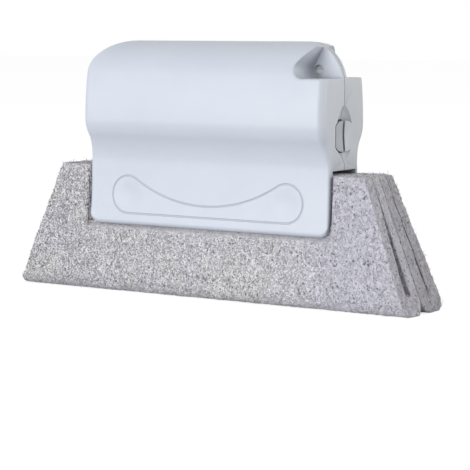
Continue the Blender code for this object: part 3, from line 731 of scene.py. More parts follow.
    def material(self) -> bpy.types.Material:
        """Build the finish as coats of colour laid over the web's tone, one after the other.

        The coats are the lit threads, the fibre's colour with a painted highlight, the gaps between
        layers in painted shade, the grit, the worn part near the notch's end, where the fibres lie
        flat, the pits in painted shade, a painted highlight on faces that look up or down, and
        painted light that runs from darker at the left end to lighter at the right.

        Returns:
            A material whose threads, pits, grit and changes of tone make the open web.
        """
        material, tree, shader = new_material(self.name)
        coordinates = add_node(tree, "ShaderNodeTexCoord")
        place = coordinates.outputs["Object"]
        along = add_node(tree, "ShaderNodeSeparateXYZ", {}, {0: place}).outputs["X"]
        normal = add_node(tree, "ShaderNodeSeparateXYZ", {}, {0: coordinates.outputs["Normal"]})
        threads = self.threads(tree, place)
        layers = self.layers(tree, place, normal.outputs["X"])
        pits = self.pits(tree, place)
        lit = add_node(tree, "ShaderNodeMath", {"operation": "MULTIPLY", 1: self.thread_share},
                       {0: threads})
        grit = add_node(tree, "ShaderNodeTexNoise", {"Scale": 1 / self.grit_size, "Detail": 0.0},
                        {"Vector": place})
        specks = add_node(tree, "ShaderNodeMapRange",
                          {"From Min": self.grit_range[0], "From Max": self.grit_range[1],
                           "To Min": self.grit_tone[0], "To Max": self.grit_tone[1]},
                          {"Value": grit.outputs["Fac"]})
        worn = add_node(tree, "ShaderNodeMapRange",
                        {"From Min": self.worn_range[0], "From Max": self.worn_range[1],
                         "To Max": self.worn_share}, {"Value": along})
        # Painted highlight on faces that look up or down.
        up_down_highlight = self.facing(tree, normal.outputs["Z"], self.up_down_highlight_facing, self.up_down_highlight_share)
        # Painted light from the left end to the right.
        painted_light_ramp = add_node(tree, "ShaderNodeMapRange",
                         {"From Min": -self.painted_light_span, "From Max": self.painted_light_span,
                          "To Min": self.painted_light_tone[0], "To Max": self.painted_light_tone[1]},
                         {"Value": along})
        darker = {"blend_type": "MULTIPLY", 0: 1.0}
        # The lit threads are the fibre's pale colour with a painted highlight, the gaps between
        # layers and the pits are painted shade, faces that look up or down get a painted highlight,
        # and the last coat is painted light from the left end to the right. The grit and the worn
        # part are the web's own colour.
        coats = [({7: linear_colour(self.fibre)}, {0: lit.outputs[0]}),
                 ({7: linear_colour(self.layer_gap_shade)}, {0: layers}),
                 (darker, {7: specks.outputs["Result"]}),
                 ({7: linear_colour(self.smooth)}, {0: worn.outputs["Result"]}),
                 ({7: linear_colour(self.pit)}, {0: pits}),
                 ({7: linear_colour(self.up_down_highlight)}, {0: up_down_highlight}),
                 ({**darker, "clamp_result": True}, {7: painted_light_ramp.outputs["Result"]})]
        colour = self.tone(tree, place)
        for settings, links in coats:
            coat = add_node(tree, "ShaderNodeMix", {"data_type": "RGBA", **settings},
                            {6: colour, **links})
            colour = coat.outputs[2]
        height = threads
        for sunk in (pits, layers):
            height = add_node(tree, "ShaderNodeMath", {"operation": "SUBTRACT"},
                              {0: height, 1: sunk}).outputs[0]
        bump = add_node(tree, "ShaderNodeBump",
                        {"Strength": self.relief_strength, "Distance": self.relief},
                        {"Height": height})
        # Painted shade darkens the colour where the web's own surfaces stand close.
        set_node(tree, shader,
                 {"Roughness": self.roughness, "Specular IOR Level": self.gloss,
                  "Sheen Weight": self.sheen[0], "Sheen Roughness": self.sheen[1]},
                 {"Base Color": self.hollow.darken(tree, colour), "Normal": bump.outputs["Normal"]})
        return material


@dataclass(frozen=True)
class NylonFibre:
    """Crimped nylon fibre ends that stand out of the web: pale, slightly glossy threads."""

    name: str
    colour: str = "f2f0f6"
    shade: str = "b4b1bb"
    spread: float = 1.6 * MM
    roughness: float = 0.55

    def material(self) -> bpy.types.Material:
        """Build the finish.

        Returns:
            A material whose tone varies from one thread to the next.
        """
        material, tree, shader = new_material(self.name)
        place = add_node(tree, "ShaderNodeTexCoord").outputs["Object"]
        vary = add_node(tree, "ShaderNodeTexNoise", {"Scale": 1 / self.spread, "Detail": 1.0},
                        {"Vector": place})
        tone = add_node(tree, "ShaderNodeMix",
                        {"data_type": "RGBA", 6: linear_colour(self.shade),
                         7: linear_colour(self.colour)}, {0: vary.outputs["Fac"]})
        set_node(tree, shader, {"Roughness": self.roughness}, {"Base Color": tone.outputs[2]})
        return material


@dataclass
class GripForm:
    """The grip's outer form as tangent arcs, with the distances that other pieces take from it.

    Tools reach past what they cut by the length called over. The steps and rows say how closely
    the faces are spaced.
    """

    length: float
    crest: float
    seam_gap: float = 0.10 * MM
    skirt_foot: float = 24.1 * MM
    corner_radius: float = 14.3 * MM
    corner_crown: float = 0.35 * MM
    foot_corner: float = 4.0 * MM
    foot_rise: float = 10.0 * MM
    crown_radius: float = 13.6 * MM
    belly_depth: float = 14.75 * MM
    belly_height: float = 62.0 * MM
    under_belly_radius: float = 10.0 * MM
    waist_depth: float = 9.7 * MM
    waist_height: float = 46.6 * MM
    skirt_depth: float = 10.7 * MM
    foot_round: float = 1.7 * MM
    end_edge: float = 2.8 * MM
    skirt_edge: float = 1.1 * MM
    edge_blend: float = 8.0 * MM
    wall: float = 2.0 * MM
    end_wall: float = 3.0 * MM
    over: float = 4.0 * MM
    step: float = 0.6 * MM
    outer_step: float = 1.2 * MM
    hollow_step: float = 4.0 * MM
    closest_step: float = 0.04 * MM
    corner_rows: int = 26
    edge_rows: int = 9
    skirt_rows: int = 4

    @property
    def half(self) -> float:
        """Half the grip's length."""
        return self.length / 2

    def section(self) -> tuple[Points, Points]:
        """Join the arcs of the half section, from the crest down to the skirt's foot.

        The belly's radius is the one at which its arc touches the crown's, and the waist and
        skirt arcs turn by twice the angle of the chord that they span.

        Returns:
            Points as (depth, height) and outward normals, each of shape (n, 2).
        """
        rise = self.crest - self.crown_radius - self.belly_height
        belly = ((self.belly_depth ** 2 + rise ** 2 - self.crown_radius ** 2)
                 / (2 * (self.belly_depth - self.crown_radius)))
        meet = math.atan2(rise, belly - self.belly_depth)
        drop = self.belly_height - self.waist_height
        bend = 2 * math.atan((self.belly_depth - self.waist_depth) / drop)
        waist = drop / math.sin(bend) - self.under_belly_radius
        fall = self.waist_height - self.skirt_foot - self.foot_round
        flare = 2 * math.atan((self.skirt_depth - self.waist_depth) / fall)
        skirt = fall / math.sin(flare)
        top = math.acos(self.seam_gap / self.crown_radius)
        runs = [
            arc((0.0, self.crest - self.crown_radius), self.crown_radius, top, meet, self.step),
            arc((self.belly_depth - belly, self.belly_height), belly, meet, 0.0, self.step),
            arc((self.belly_depth - self.under_belly_radius, self.belly_height),
                self.under_belly_radius, 0.0, -bend, self.step),
            arc((self.waist_depth + waist, self.waist_height), waist, -bend, 0.0, self.step, True),
            arc((self.waist_depth + skirt, self.waist_height), skirt, 0.0, flare, self.step, True),
        ]
        last, normal = runs[-1][0][-1], runs[-1][1][-1]
        runs.append(arc(tuple(last - self.foot_round * normal), self.foot_round, flare,
                        -math.pi / 2, self.step / 3))
        points = np.concatenate([runs[0][0][:1]] + [run[0][1:] for run in runs])
        normals = np.concatenate([runs[0][1][:1]] + [run[1][1:] for run in runs])
        return points, normals

    def edge_radius(self, height: Points) -> Points:
        """The end edge's radius: small on the thin skirt, growing above the waist to its full."""
        share = np.clip((height - self.waist_height) / self.edge_blend, 0.0, 1.0)
        return self.skirt_edge + share * (self.end_edge - self.skirt_edge)

    def depth(self, x: Points, height: Points) -> Points:
        """Find the outer face's depth: the section's depth less the end edge's round.

        Args:
            x: Places along the grip.
            height: Heights, one for each place.

        Returns:
            Depths from the seam plane.
        """
        points, _ = self.section()
        flat = np.interp(height, points[::-1, 1], points[::-1, 0], right=0.0)
        round_off = arc_drop(self.edge_radius(height), self.half - np.abs(x))
        return np.maximum(flat - round_off, 0.0)

    def stations(self, half: float, corner: float, step: float) -> Points:
        """List places along X, close together where the ends round over.

        Near an end they lie at each round's radius times 1 less the cosine of even angles.

        Args:
            half: Half the length to cover.
            corner: The top corner's radius.
            step: The spacing on the straight stretch.

        Returns:
            The places from one end to the other.
        """
        rounds = ((corner, self.corner_rows), (self.end_edge, self.edge_rows),
                  (self.skirt_edge, self.skirt_rows), (self.foot_corner, self.edge_rows))
        marks = [np.array([0.0])]
        for radius, rows in rounds:
            marks.append(radius * (1 - np.cos(np.linspace(0, math.pi / 2, rows + 1)[1:])))
        near = np.unique(np.round(np.concatenate(marks), 6))
        near = near[np.insert(np.diff(near) > self.closest_step, 0, True)]
        count = math.ceil((half - corner) * 2 / step)
        middle = np.linspace(-half + corner, half - corner, count + 1)[1:-1]
        return np.concatenate([near - half, middle, (half - near)[::-1]])

    def ring_heights(self, depth: Points, height: Points, from_end: Points, top: float,
                     corner: float) -> Points:
        """Cut heights off under the top corner's round, which is slightly crowned across.

        The limit is the top less the corner's fall, which grows with the squared share of the
        depth, and the crest's edge is rounded where the limit meets the section.

        Args:
            depth: Depths from the seam plane.
            height: Heights to limit.
            from_end: Distances from the end wall, as a column.
            top: The height of the straight crest.
            corner: The corner's radius.

        Returns:
            The limited heights.
        """
        drop = arc_drop(corner, from_end)
        limit = top - drop * (1 + self.corner_crown * (depth / self.belly_depth) ** 2 / corner)
        return soft_minimum(height, limit, self.end_edge * drop / corner)

    def outer_rings(self, half: Half, dimples: "SmileGroove") -> Points:
        """Work out the outer skin: the section carried along X, drawn in and down at both ends.

        Each point moves in along its normal by the end edge's fall and the dishes' depth. The
        top comes down by the corner's round, and the foot goes up by its own.

        Args:
            half: Which half of the grip.
            dimples: The shallow dishes pressed into the skirt.

        Returns:
            Closed rings of shape (m, n, 3).
        """
        points, normals = self.section()
        x = self.stations(self.half, self.corner_radius, self.outer_step)[:, None]
        from_end = self.half - np.abs(x)
        inset = arc_drop(self.edge_radius(points[:, 1]), from_end)
        inset = inset + dimples.dish_depth(x, points[:, 1])
        depth = np.maximum(points[:, 0] - inset * normals[:, 0], self.seam_gap)
        height = points[:, 1] - inset * normals[:, 1]
        height = self.ring_heights(depth, height, from_end, self.crest, self.corner_radius)
        share = np.clip(1 - (height - self.skirt_foot) / self.foot_rise, 0.0, 1.0)
        height = height + arc_drop(self.foot_corner, from_end) * share
        depth = np.concatenate([depth, np.full_like(x, self.seam_gap)], axis=1)
        height = np.concatenate([height, height[:, -1:]], axis=1)
        return np.stack([np.broadcast_to(x, depth.shape), half.value * depth, height], axis=-1)

    def hollow_rings(self, half: Half) -> Points:
        """Work out the hollow: the section drawn in by the wall, open past the seam and the foot.

        Each point moves in along its normal by the wall, and the top corner's round is smaller
        by the end wall.

        Args:
            half: Which half of the grip.

        Returns:
            Closed rings of shape (m, n, 3).
        """
        points, normals = self.section()
        keep = points[:, 1] > self.skirt_foot + self.foot_round
        points, normals = points[keep], normals[keep]
        reach = self.half - self.end_wall
        corner = self.corner_radius - self.end_wall
        x = self.stations(reach, corner, self.hollow_step)[:, None]
        depth = np.maximum(points[:, 0] - self.wall * normals[:, 0], 0.0) + 0 * x
        height = points[:, 1] - self.wall * normals[:, 1] + 0 * x
        height = self.ring_heights(depth, height, reach - np.abs(x), self.crest - self.wall, corner)
        low = np.full_like(x, self.skirt_foot - self.over)
        past = np.full_like(x, -self.over)
        depth = np.concatenate([past, depth, depth[:, -1:], past], axis=1)
        height = np.concatenate([height[:, :1], height, low, low], axis=1)
        return np.stack([np.broadcast_to(x, depth.shape), half.value * depth, height], axis=-1)

    def bay_outline(self, half: Half) -> Points:
        """Draw the opening under each end wall, through which the pads pass.

        Args:
            half: Which half of the grip.

        Returns:
            Points as (y, z).
        """
        points, normals = self.section()
        inner = points - self.wall * normals
        inner = inner[(inner[:, 1] <= self.waist_height)
                      & (inner[:, 1] > self.skirt_foot + self.foot_round)]
        low = self.skirt_foot - self.over
        closing = np.array([(inner[-1, 0], low), (-self.over, low), (-self.over, inner[0, 1])])
        return np.concatenate([inner, closing]) * (half.value, 1.0)


@dataclass
class SmileGroove:
    """The fine groove that draws two lobes and a smile on each skirt, with a dish in each lobe."""

    half_length: float
    end_margin: float = 16.95 * MM
    lobe_height: float = 35.0 * MM
    lobe_radius: float = 6.7 * MM
    lobe_step: float = 0.5 * MM
    dip_height: float = 32.3 * MM
    dip_step: float = 0.8 * MM
    base_points: int = 80
    radius: float = 0.40 * MM
    centre_out: float = 0.14 * MM
    sides: int = 12
    dish_radius: float = 6.0 * MM
    dish: float = 0.30 * MM

    @property
    def lobe_x(self) -> float:
        """How far each lobe's centre lies from the middle."""
        return self.half_length - self.end_margin

    def dish_depth(self, x: Points, height: Points) -> Points:
        """Find the depth pressed in at each lobe.

        It is the dish times the square of 1 less the squared distance from the lobe's centre,
        which is measured as a share of the dish's radius.

        Args:
            x: Places along the grip.
            height: Heights on the skirt.

        Returns:
            Depths below the skirt's face.
        """
        squared = (np.abs(x) - self.lobe_x) ** 2 + (height - self.lobe_height) ** 2
        return self.dish * np.maximum(1 - squared / self.dish_radius ** 2, 0.0) ** 2

    def path(self) -> Points:
        """Draw the closed line: two lobe arcs, a hollow arc above and a straight run below.

        The hollow arc's radius is the one at which it touches both lobes.

        Returns:
            Points as (x, z).
        """
        drop = self.dip_height - self.lobe_height
        top = ((self.lobe_x ** 2 + drop ** 2 - self.lobe_radius ** 2)
               / (2 * (self.lobe_radius - drop)))
        meet = math.atan2(self.lobe_x, drop + top)
        lobe, _ = arc((self.lobe_x, self.lobe_height), self.lobe_radius, -math.pi / 2,
                      math.pi / 2 + meet, self.lobe_step)
        dip, _ = arc((0.0, self.dip_height + top), top, math.pi / 2 - meet, math.pi / 2 + meet,
                     self.dip_step)
        dip[:, 1] = 2 * (self.dip_height + top) - dip[:, 1]
        mirrored = lobe[::-1] * (-1.0, 1.0)
        floor = np.linspace(-self.lobe_x, self.lobe_x, self.base_points)[1:-1]
        base = np.stack([floor, np.full_like(floor, self.lobe_height - self.lobe_radius)], axis=1)
        return np.concatenate([lobe, dip[1:-1], mirrored, base])

    def cutter(self, form: GripForm, half: Half) -> Piece:
        """Carry a small circle along the path, its centre a little way out from the skirt's face.

        A point is the centre plus the radius times (cosine times the side plus sine times out).

        Args:
            form: The grip's form, which gives the face's depth.
            half: Which half of the grip.

        Returns:
            A closed ring-shaped tube.
        """
        flat = self.path()
        depth = form.depth(flat[:, 0], flat[:, 1]) - self.dish_depth(flat[:, 0], flat[:, 1])
        along = np.roll(flat, -1, axis=0) - np.roll(flat, 1, axis=0)
        along /= np.linalg.norm(along, axis=1, keepdims=True)
        side = np.stack([along[:, 1], np.zeros(len(flat)), -along[:, 0]], axis=1)
        centre = np.stack([flat[:, 0], half.value * (depth + self.centre_out), flat[:, 1]], axis=1)
        angle = np.arange(self.sides)[None, :, None] * 2 * math.pi / self.sides
        out = np.array([0.0, 1.0, 0.0])
        rings = (centre[:, None] + self.radius * np.cos(angle) * side[:, None]
                 + self.radius * np.sin(angle) * out)
        rings = np.concatenate([rings, rings[:1]])
        faces = grid_faces(len(rings), self.sides, wrap=True)
        return mesh_piece("smile_groove_tool", rings, faces)


@dataclass
class HangingNotch:
    """The notch in the top right corner, its middle web, and the bore that runs into its corner.

    The lip is rounder along the crest than lower down. The rear half has less draft.
    """

    form: GripForm
    depth: float = 12.3 * MM
    length: float = 12.85 * MM
    lean: float = 0.51
    corner: float = 3.0 * MM
    corner_points: int = 14
    wall_points: int = 40
    floor_points: int = 32
    draft: float = 2.9 * MM
    draft_lean: float = 0.23
    draft_corner: float = 0.37 * MM
    rear_draft: float = 0.40
    web_half: float = 1.5 * MM
    web_margin: float = 0.10 * MM
    skin_margin: float = 0.15 * MM
    lip: float = 0.8 * MM
    lip_steps: int = 7
    crest_lip: float = 2.3 * MM
    rear_crest_lip: float = 1.3 * MM
    crest_lip_span: float = 7.0 * MM
    past_rise: float = 0.25 * MM
    past_spread: float = 0.9 * MM
    hole_radius: float = 1.85 * MM
    hole_inset: float = 3.6 * MM
    hole_rise: float = 2.65 * MM
    hole_sides: int = 48
    lead_end: float = 10.5 * MM
    lead_drift: float = 2.1 * MM
    lead_drop: float = 0.6 * MM
    lead_tip: float = 0.5 * MM

    @property
    def floor(self) -> float:
        """The height of the notch's floor."""
        return self.form.crest - self.depth

    @property
    def wall_x(self) -> float:
        """Where the leaning wall would meet the floor."""
        return self.form.half - self.length

    def outline(self, grow: float, draft: float) -> tuple[Points, Points]:
        """Sample the notch in front view, grown into the solid by a distance.

        A leaning wall and a flat floor meet in a round, which touches both at its radius over the
        tangent of half the angle between them.

        Args:
            grow: How far the outline lies inside the solid.
            draft: 0 at the web and 1 at the grip's widest, where the notch is wider.

        Returns:
            Points as (x, z) and the directions into the solid; the closing point has none.
        """
        lean = self.lean + draft * self.draft_lean
        slope = math.atan(lean)
        floor = self.floor - grow
        foot = self.wall_x - draft * self.draft - grow / math.cos(slope) - lean * grow
        wall = np.array([math.sin(slope), math.cos(slope)])
        corner = np.array([foot, floor])
        radius = self.corner + draft * self.draft_corner + grow
        reach = radius / math.tan((math.pi / 2 - slope) / 2)
        centre = corner + (reach, radius)
        turn = np.linspace(math.pi - slope, 1.5 * math.pi, self.corner_points)
        round_normals = np.stack([np.cos(turn), np.sin(turn)], axis=1)
        round_points = centre + radius * round_normals
        top = self.form.crest + self.form.over
        high = (top - floor) / wall[1]
        rise = np.linspace(high, reach, self.wall_points)[:-1]
        leaning = corner + rise[:, None] * wall
        end = self.form.half + self.form.over
        run = np.linspace(centre[0], end, self.floor_points)[1:]
        flat = np.stack([run, np.full_like(run, floor)], axis=1)
        points = np.concatenate([leaning, round_points, flat, np.array([(end, top)])])
        into = np.concatenate([np.tile((-wall[1], wall[0]), (len(leaning), 1)), round_normals,
                               np.tile((0.0, -1.0), (len(flat), 1)), np.zeros((1, 2))])
        return points, into

    def pocket(self, half: Half) -> Piece:
        """Make the pocket's tool: drafted out from the web to near the skin, then a rounded lip.

        The lip is a quadratic curve from the wall, over the sharp edge, to the skin. Past the
        skin the tool rises slightly, so that it leaves the solid at a low angle.

        Args:
            half: Which half of the grip.

        Returns:
            The closed tool.
        """
        front = half is Half.FRONT
        web_points, _ = self.outline(0.0, 0.0)
        points, into = self.outline(0.0, 1.0 if front else self.rear_draft)
        crest_lip = self.crest_lip if front else self.rear_crest_lip
        to_crest = points[:, 1] - self.form.crest + self.crest_lip_span
        lip = self.lip + (crest_lip - self.lip) * smooth_step(to_crest / self.crest_lip_span)
        least = self.web_half + self.web_margin
        skin = self.form.depth(points[:, 0], points[:, 1])
        skin = np.maximum(skin, least + self.web_margin)
        grown = points + lip[:, None] * into
        far_skin = self.form.depth(grown[:, 0], grown[:, 1])
        far_skin = np.maximum(far_skin, least + self.skin_margin)
        start = np.maximum(skin - lip, least)
        t = np.linspace(0.0, 1.0, self.lip_steps + 1)[:, None]
        depth = (1 - t) ** 2 * start + 2 * t * (1 - t) * skin + t ** 2 * far_skin
        beyond = self.form.belly_depth + self.form.over
        depth = np.concatenate([np.full_like(skin, self.web_half)[None], depth,
                                (far_skin + self.past_rise)[None],
                                np.full_like(skin, beyond)[None]])
        outer = (lip + self.past_spread)[None]
        grow = np.concatenate([np.zeros_like(skin)[None], t ** 2 * lip, outer, outer])
        flat = points[None] + grow[..., None] * into[None]
        flat[0] = web_points
        rings = np.stack([flat[..., 0], half.value * depth, flat[..., 1]], axis=-1)
        return skin_piece("notch_pocket_tool", rings)

    @property
    def hole(self) -> Pair:
        """The hole's centre as (x, z)."""
        return self.wall_x + self.hole_inset, self.floor + self.hole_rise

    def bore(self) -> Piece:
        """Make the tool of the hanging hole, which goes right through the web.

        Returns:
            The closed tool.
        """
        x, z = self.hole
        past = 2 * self.web_half
        radii = (self.hole_radius, self.hole_radius)
        return round_piece("hanging_hole_tool", (x, -past, z), (x, past, z), radii, self.hole_sides)

    def lead_in(self, half: Half) -> Piece:
        """Make the groove that guides a hook to the hole and narrows away along the corner.

        Args:
            half: Which half of the grip.

        Returns:
            The closed tool.
        """
        x, z = self.hole
        start = (x, half.value * self.web_half, z)
        end = (x - self.lead_drift, half.value * self.lead_end, z - self.lead_drop)
        radii = (self.hole_radius, self.lead_tip)
        return round_piece("lead_in_tool", start, end, radii, self.hole_sides)


@dataclass
class ThumbLatch:
    """The oval thumb dish in an end wall and the press tongue of the front half inside it."""

    form: GripForm
    end: End
    node: str
    body: str
    height: float = 58.1 * MM
    dish_height: float = 58.8 * MM
    half_width: float = 5.4 * MM
    half_height: float = 9.8 * MM
    dish_depth: float = 1.9 * MM
    dish_rows: int = 46
    dish_sides: int = 96
    ball: float = 2.6 * MM
    point: float = 1.35
    rim: float = 0.25 * MM
    rim_lift: float = 0.03 * MM
    rim_share: float = 0.998
    land_depth: float = 0.4 * MM
    land_length: float = 4.75 * MM
    slit: float = 0.65 * MM
    tongue_length: float = 4.95 * MM
    tongue_height: float = 10.5 * MM
    tongue_thickness: float = 2.8 * MM
    shoulder: float = 2.2 * MM
    shoulder_points: int = 18
    slot: float = 0.42 * MM
    clearance: float = 0.3 * MM
    nose_height: float = 5.0 * MM
    nose_thickness: float = 1.4 * MM
    nose_reach: float = 2.1 * MM
    nose_stem: float = 1.6 * MM
    nose_set_in: float = 0.3 * MM
    sharp_angle: float = 35.0

    def dish(self, depth: float) -> Piece:
        """Make a dish's tool: a squashed ball with its outline pinched to a point at each end.

        Its level is ball less depth less ball times the root of 1 less the squared spread, its
        width goes as the cosine raised to a power, and its rim flattens out just above the wall's
        face.

        Args:
            depth: How deep the ball reaches below the wall's face.

        Returns:
            The closed tool.
        """
        share = math.sqrt(1 - (1 - self.dish_depth / self.ball) ** 2)
        spread = np.linspace(0.0, self.rim_share / share, self.dish_rows)[1:, None]
        angle = np.arange(self.dish_sides)[None] * 2 * math.pi / self.dish_sides
        level = self.ball - depth - self.ball * np.sqrt(1 - (spread * share) ** 2)
        out = soft_minimum(level, np.full_like(level, self.rim_lift),
                           np.full_like(level, self.rim))
        out = np.concatenate([out, np.full((1, 1), self.form.over)])
        spread = np.concatenate([spread, spread[-1:]])
        across = np.sign(np.cos(angle)) * np.abs(np.cos(angle)) ** self.point
        rings = np.stack([self.end.value * (self.form.half + out) + 0 * angle,
                          self.half_width * spread * across,
                          self.dish_height + self.half_height * spread * np.sin(angle)], axis=-1)
        return skin_piece("thumb_dish_tool", rings)

    def outline(self, side: Half, length: float, grow: float) -> Points:
        """Sample a D in end view: straight at the seam, with shoulders of quarter ellipses.

        It reaches out by its length times the sine, and rises by the shoulder times the cosine.

        Args:
            side: The half towards which the D points.
            length: How far it reaches past the slit.
            grow: The clearance added round it.

        Returns:
            Points as (y, z), from the top of the straight side round to its foot.
        """
        angle = np.linspace(0.0, math.pi / 2, self.shoulder_points)
        flat = self.tongue_height / 2 - self.shoulder
        reach = self.slit + (length + grow) * np.sin(angle)
        rise = flat + (self.shoulder + grow) * np.cos(angle)
        upper = np.stack([side.value * reach, self.height + rise], axis=1)
        lower = np.stack([side.value * reach[::-1], self.height - rise[::-1]], axis=1)
        return np.concatenate([upper, lower])

    def cuts(self, side: Half) -> list[tuple[Piece, Cut]]:
        """Dish one half of the grip, and cut the tongue's slot or the slit by the rear land.

        Args:
            side: The half of the grip that is cut.

        Returns:
            The tools, each open past the seam.
        """
        form = self.form
        front = side is Half.FRONT
        ring = self.outline(side, self.tongue_length if front else self.land_length,
                            self.slot if front else 0.0)
        past = -side.value * form.over
        ring = np.concatenate([ring, [(past, ring[-1, 1]), (past, ring[0, 1])]])
        x = sorted_pair(self.end.value * (form.half - form.end_wall - form.over),
                        self.end.value * (form.half + form.over))
        centre = prism_piece("latch_centre_tool", ring, 0, *x)
        dish = self.dish(self.dish_depth)
        if front:
            return [(dish, Cut.REMOVE), (centre, Cut.REMOVE)]
        rise = self.tongue_height / 2 + self.slot
        slit = box_piece("latch_slit_tool", (x[0], -form.over, self.height - rise),
                         (x[1], self.slit, self.height + rise))
        return [(carve(dish, [(centre, Cut.REMOVE)]), Cut.REMOVE),
                (self.dish(self.land_depth), Cut.REMOVE), (slit, Cut.REMOVE)]

    def build(self, finish: SatinPolypropylene) -> Piece:
        """Make the tongue: a dished plate with a stem and a nose behind the rear wall.

        Args:
            finish: The plastic.

        Returns:
            The finished tongue.
        """
        sign = self.end.value
        face = self.form.half
        back = face - self.tongue_thickness
        plate = self.outline(Half.FRONT, self.tongue_length, 0.0)
        tongue = prism_piece(self.node + "_press_tongue", plate, 0,
                             *sorted_pair(sign * back, sign * face))
        nose_face = face - self.form.end_wall - self.clearance
        nose_back = nose_face - self.nose_thickness
        low = self.height - self.nose_height / 2
        high = self.height + self.nose_height / 2
        stem_x = sorted_pair(sign * (back + self.clearance), sign * nose_back)
        stem = box_piece("stem_tool", (stem_x[0], -self.slit - self.nose_stem, low),
                         (stem_x[1], -self.slit, high))
        nose_x = sorted_pair(sign * nose_face, sign * nose_back)
        set_in = self.nose_set_in
        nose = box_piece("nose_tool", (nose_x[0], -self.slit - set_in, low + set_in),
                         (nose_x[1], self.nose_reach, high - set_in))
        carve(tongue, [(stem, Cut.ADD), (nose, Cut.ADD), (self.dish(self.land_depth), Cut.REMOVE)])
        finish_piece(tongue, self.node, self.body, finish.material(),
                     self.sharp_angle)
        return tongue


@dataclass
class GripShell:
    """One moulded half of the grip."""

    form: GripForm
    notch: HangingNotch
    groove: SmileGroove
    latches: list[ThumbLatch]
    half: Half
    node: str
    body: str
    rib_count: int = 4
    rib_pitch: float = 19.0 * MM
    rib_margin: float = 12.25 * MM
    rib_thickness: float = 1.6 * MM
    rib_foot: float = 45.3 * MM
    rib_set_back: float = 0.45 * MM
    pin_count: int = 5
    pin_margin: float = 10.25 * MM
    pin_height: float = 35.0 * MM
    pin_base: float = 1.5 * MM
    pin_tip: float = 0.5 * MM
    pin_reach: float = 4.2 * MM
    pin_sides: int = 16
    film_gap: float = 0.3 * MM
    sharp_angle: float = 28.0

    def hollow(self) -> Piece:
        """Make the hollow's tool, which leaves the notch's wall and the ribs standing.

        Returns:
            The closed tool.
        """
        form = self.form
        tool = skin_piece("hollow_tool", form.hollow_rings(self.half))
        outline, _ = self.notch.outline(form.wall, 1.0)
        kept = [prism_piece("notch_wall_tool", outline, 1, -form.half, form.half)]
        near, far = sorted_pair(self.half.value * self.rib_set_back,
                                self.half.value * 2 * form.belly_depth)
        for i in range(self.rib_count):
            x = self.rib_margin - form.half + self.rib_pitch * i
            low = (x - self.rib_thickness / 2, near, self.rib_foot)
            high = (x + self.rib_thickness / 2, far, form.crest + form.over)
            kept.append(box_piece(f"rib_tool_{i}", low, high))
        return carve(tool, [(piece, Cut.REMOVE) for piece in kept])

    def pins(self) -> list[Piece]:
        """Make the retention pins on the skirt's inner face, evenly spread between the ends.

        Returns:
            The pins, each rooted halfway into the wall.
        """
        form = self.form
        face = float(form.depth(np.zeros(1), np.array([self.pin_height]))[0])
        base = face - form.wall / 2
        tip = base - self.pin_reach - form.wall / 2
        reach = form.half - self.pin_margin
        radii = (self.pin_base, self.pin_tip)
        return [round_piece(f"pin_tool_{i}", (x, self.half.value * base, self.pin_height),
                            (x, self.half.value * tip, self.pin_height), radii, self.pin_sides)
                for i, x in enumerate(np.linspace(-reach, reach, self.pin_count))]

    def bays(self) -> list[Piece]:
        """Make the tools of the openings under the end walls, through which the pads pass.

        Returns:
            One closed tool for each end.
        """
        form = self.form
        outline = form.bay_outline(self.half)
        inside = form.half - form.end_wall - self.film_gap
        return [prism_piece("bay_tool", outline, 0,
                            *sorted_pair(end.value * inside, end.value * (form.half + form.over)))
                for end in End]

    def build(self, finish: SatinPolypropylene, film_low: Vector, film_high: Vector) -> Piece:
        """Make the half: skin, hollow, bays, pins, notch, bore, dishes, windows and groove.

        Args:
            finish: The plastic.
            film_low: The lowest corner of the hinge film.
            film_high: The highest corner of the hinge film.

        Returns:
            The finished half.
        """
        form = self.form
        shell = skin_piece(self.node + "_moulding", form.outer_rings(self.half, self.groove))
        tools = [(piece, Cut.REMOVE) for piece in (self.hollow(), *self.bays())]
        tools += [(pin, Cut.ADD) for pin in self.pins()]
        tools += [(self.notch.pocket(self.half), Cut.REMOVE), (self.notch.bore(), Cut.REMOVE),
                  (self.notch.lead_in(self.half), Cut.REMOVE)]
        for latch in self.latches:
            tools += latch.cuts(self.half)
        tools.append((self.groove.cutter(form, self.half), Cut.REMOVE))
        low = tuple(value - self.film_gap for value in film_low)
        high = (film_high[0] + self.film_gap, film_high[1] + self.film_gap, form.crest + form.over)
        tools.append((box_piece("film_rebate_tool", low, high), Cut.REMOVE))
        carve(shell, tools)
        finish_piece(shell, self.node, self.body, finish.material(),
                     self.sharp_angle)
        return shell


